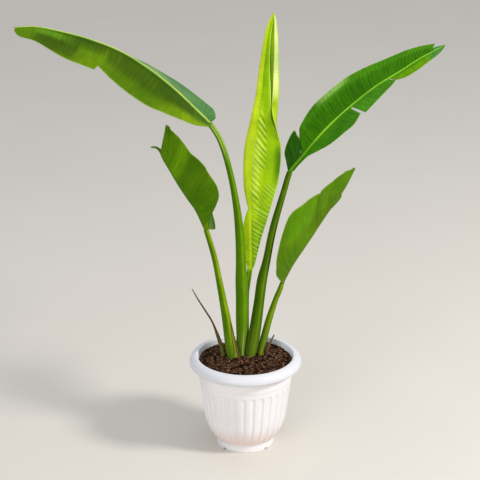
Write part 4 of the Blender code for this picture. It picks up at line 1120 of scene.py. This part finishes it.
def pot_material():
    graph = Graph("pot_surface")
    place = graph.object_place()
    cloud = graph.noise(place, 14.0, 4.0, 0.6)
    colour = graph.mix(graph.spread(cloud, 0.3, 0.7), POT_DARK, POT_LIGHT)
    height = graph.node("ShaderNodeSeparateXYZ", {"Vector": place}).outputs["Z"]
    # Painted shade over the rim, from the body's top up.
    colour = graph.mix(graph.spread(height, 0.150, 0.157), colour, POT_RIM_SHADE)
    flat = graph.node("ShaderNodeVectorMath", {0: place, 1: (1, 1, 0)}, operation="MULTIPLY")
    reach = graph.node("ShaderNodeVectorMath", {0: flat.outputs[0]}, operation="LENGTH").outputs["Value"]
    # Painted light on the inner wall above the soil.
    inside = graph.times(graph.spread(reach, 0.0892, RIM_INNER), graph.spread(height, 0.157, 0.159))
    # Painted warm reflection of the floor on the lower body, above the foot ring.
    low = graph.spread(graph.math("ADD", height, graph.times(cloud, 0.02)), 0.066, 0.030)
    ground_reflection = graph.times(low, graph.spread(height, 0.015, 0.021))
    colour = graph.cover(colour, POT_GROUND_REFLECTION, 0.55, ground_reflection)
    colour = graph.cover(colour, POT_INSIDE_LIGHT, 0.9, inside)
    dust = graph.spread(graph.noise(place, 190.0, 2.0), 0.66, 0.74)
    colour = graph.cover(colour, POT_DUST, 0.12, dust)
    graph.surface(Base_Color=colour, Roughness=graph.spread(cloud, 0.3, 0.7, 0.33, 0.44))
    graph.bump(graph.noise(place, 900.0, 2.0), 0.00004, 0.6)
    return graph.material


def soil_height(x, y):
    """Height of the soil's top: a low mound with clumps and grains."""
    reach = min(math.hypot(x, y) / SOIL_RADIUS, 1)
    clumps = noise.fractal(Vector((x * SOIL_CLUMP_RATE, y * SOIL_CLUMP_RATE, 3.1)), 0.8, 2.1, 4)
    return SOIL_EDGE_HEIGHT + SOIL_MOUND * (1 - reach**2) + SOIL_CLUMP * clumps


def soil_material():
    graph = Graph("soil_surface")
    place = graph.object_place()
    clumps = graph.noise(place, 120.0, 4.0, 0.65)
    colour = graph.mix(graph.spread(clumps, 0.44, 0.60), SOIL_DARK, SOIL_LIGHT)
    cells = graph.node("ShaderNodeTexVoronoi", {"Vector": place, "Scale": 420.0})
    cell = graph.node("ShaderNodeSeparateColor", {"Color": cells.outputs["Color"]}).outputs[0]
    colour = graph.cover(colour, SOIL_PALE, 0.6, graph.spread(cell, 0.90, 0.95))
    warm = graph.spread(graph.noise(place, 60.0, 2.0), 0.55, 0.75)
    colour = graph.cover(colour, SOIL_WARM, 0.5, warm)
    graph.surface(Base_Color=colour, Roughness=0.94, Specular_IOR_Level=0.08)
    graph.bump(clumps, 0.0012, 1.0)
    return graph.material


def make_soil():
    points, faces = [], []
    rings = list(SOIL_WALL) + [(SOIL_RADIUS * (1 - k / SOIL_RINGS), None) for k in range(SOIL_RINGS)]
    for radius, height in rings:
        base = len(points)
        for i in range(SOIL_SIDES):
            turn = 2 * math.pi * i / SOIL_SIDES
            x, y = radius * math.sin(turn), -radius * math.cos(turn)
            points.append((x, y, soil_height(x, y) if height is None else height))
        if base:
            a = base - SOIL_SIDES
            for i in range(SOIL_SIDES):
                j = (i + 1) % SOIL_SIDES
                faces.append((a + i, a + j, base + j, base + i))
    faces.append(tuple(range(SOIL_SIDES))[::-1])
    middle, last = len(points), len(points) - SOIL_SIDES
    points.append((0, 0, soil_height(0, 0)))
    faces += [(last + i, last + (i + 1) % SOIL_SIDES, middle) for i in range(SOIL_SIDES)]
    look = soil_material()
    add_piece("soil_bed", points, faces, look, ["soil"])
    make_crumbs(look)


def make_crumbs(look):
    """Loose crumbs of soil and bark, half sunk in the soil's top."""
    draw = random.Random(CRUMB_SEED)
    shape = bmesh.new()
    bmesh.ops.create_icosphere(shape, subdivisions=1, radius=1.0)
    ball = [v.co.copy() for v in shape.verts]
    sides = [tuple(v.index for v in face.verts) for face in shape.faces]
    shape.free()
    points, faces = [], []
    for k in range(CRUMBS):
        reach = (SOIL_RADIUS - CRUMB_EDGE) * math.sqrt(draw.random())
        turn = draw.uniform(0, 2 * math.pi)
        x, y = reach * math.sin(turn), reach * math.cos(turn)
        size = CRUMB_LEAST + CRUMB_SPREAD * draw.random() ** 3
        stretch = Vector((draw.uniform(0.7, 1.6), draw.uniform(0.6, 1.1), draw.uniform(0.5, 0.9)))
        spin = draw.uniform(0, math.pi)
        cos, sin = math.cos(spin), math.sin(spin)
        faces += [tuple(len(points) + i for i in face) for face in sides]
        middle = Vector((x, y, soil_height(x, y) + size * CRUMB_LIFT))
        for corner in ball:
            rough = 1 + CRUMB_ROUGH * noise.noise(corner * CRUMB_ROUGH_RATE + Vector((k, 0, 0)))
            p = corner * stretch * size * rough
            points.append(middle + Vector((p.x * cos - p.y * sin, p.x * sin + p.y * cos, p.z)))
    add_piece("soil_crumbs", points, faces, look, ["soil"])


def area_light(name, place, target, size, power, colour):
    data = bpy.data.lights.new(name, "AREA")
    data.shape = "DISK"
    data.size = size
    data.energy = power
    data.color = colour
    lamp = add_object(name, data)
    lamp.location = place
    lamp.rotation_euler = (Vector(target) - Vector(place)).to_track_quat("-Z", "Y").to_euler()


def make_studio():
    floor_mesh = bpy.data.meshes.new("floor")
    floor_mesh.from_pydata(FLOOR_CORNERS, [], [(0, 1, 2, 3)])
    graph = Graph("floor_surface")
    cloud = graph.noise(graph.object_place(), 3.0, 3.0)
    graph.surface(Base_Color=graph.mix(cloud, FLOOR_DARK, FLOOR_LIGHT), Roughness=0.7)
    floor_mesh.materials.append(graph.material)
    floor = add_object("floor", floor_mesh)
    world = bpy.data.worlds.new("studio")
    world.use_nodes = True
    sky = world.node_tree.nodes["Background"].inputs
    sky["Color"].default_value = SKY_COLOUR
    sky["Strength"].default_value = SKY_STRENGTH
    bpy.context.scene.world = world
    for light in LIGHTS:
        area_light(*light)
    bpy.context.scene.view_settings.view_transform = "Standard"


def make_camera():
    data = bpy.data.cameras.new("camera")
    data.lens = LENS
    data.sensor_width = SENSOR
    data.sensor_fit = "HORIZONTAL"
    data.clip_end = 50
    camera = add_object("camera", data)
    camera.location = CAMERA_PLACE
    camera.rotation_euler = (math.radians(CAMERA_TILT), 0, 0)
    bpy.context.scene.camera = camera


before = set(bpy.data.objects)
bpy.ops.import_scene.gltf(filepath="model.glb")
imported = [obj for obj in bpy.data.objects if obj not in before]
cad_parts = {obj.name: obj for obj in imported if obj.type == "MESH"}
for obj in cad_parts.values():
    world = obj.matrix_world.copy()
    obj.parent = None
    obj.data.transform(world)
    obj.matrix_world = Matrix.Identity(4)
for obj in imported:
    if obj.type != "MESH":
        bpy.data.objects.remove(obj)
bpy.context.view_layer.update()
make_pot()
make_soil()
for leaf_name in LEAVES:
    make_leaf(leaf_name)
for dry_name in DRY_PIECES:
    make_dry(dry_name)
make_studio()
make_camera()
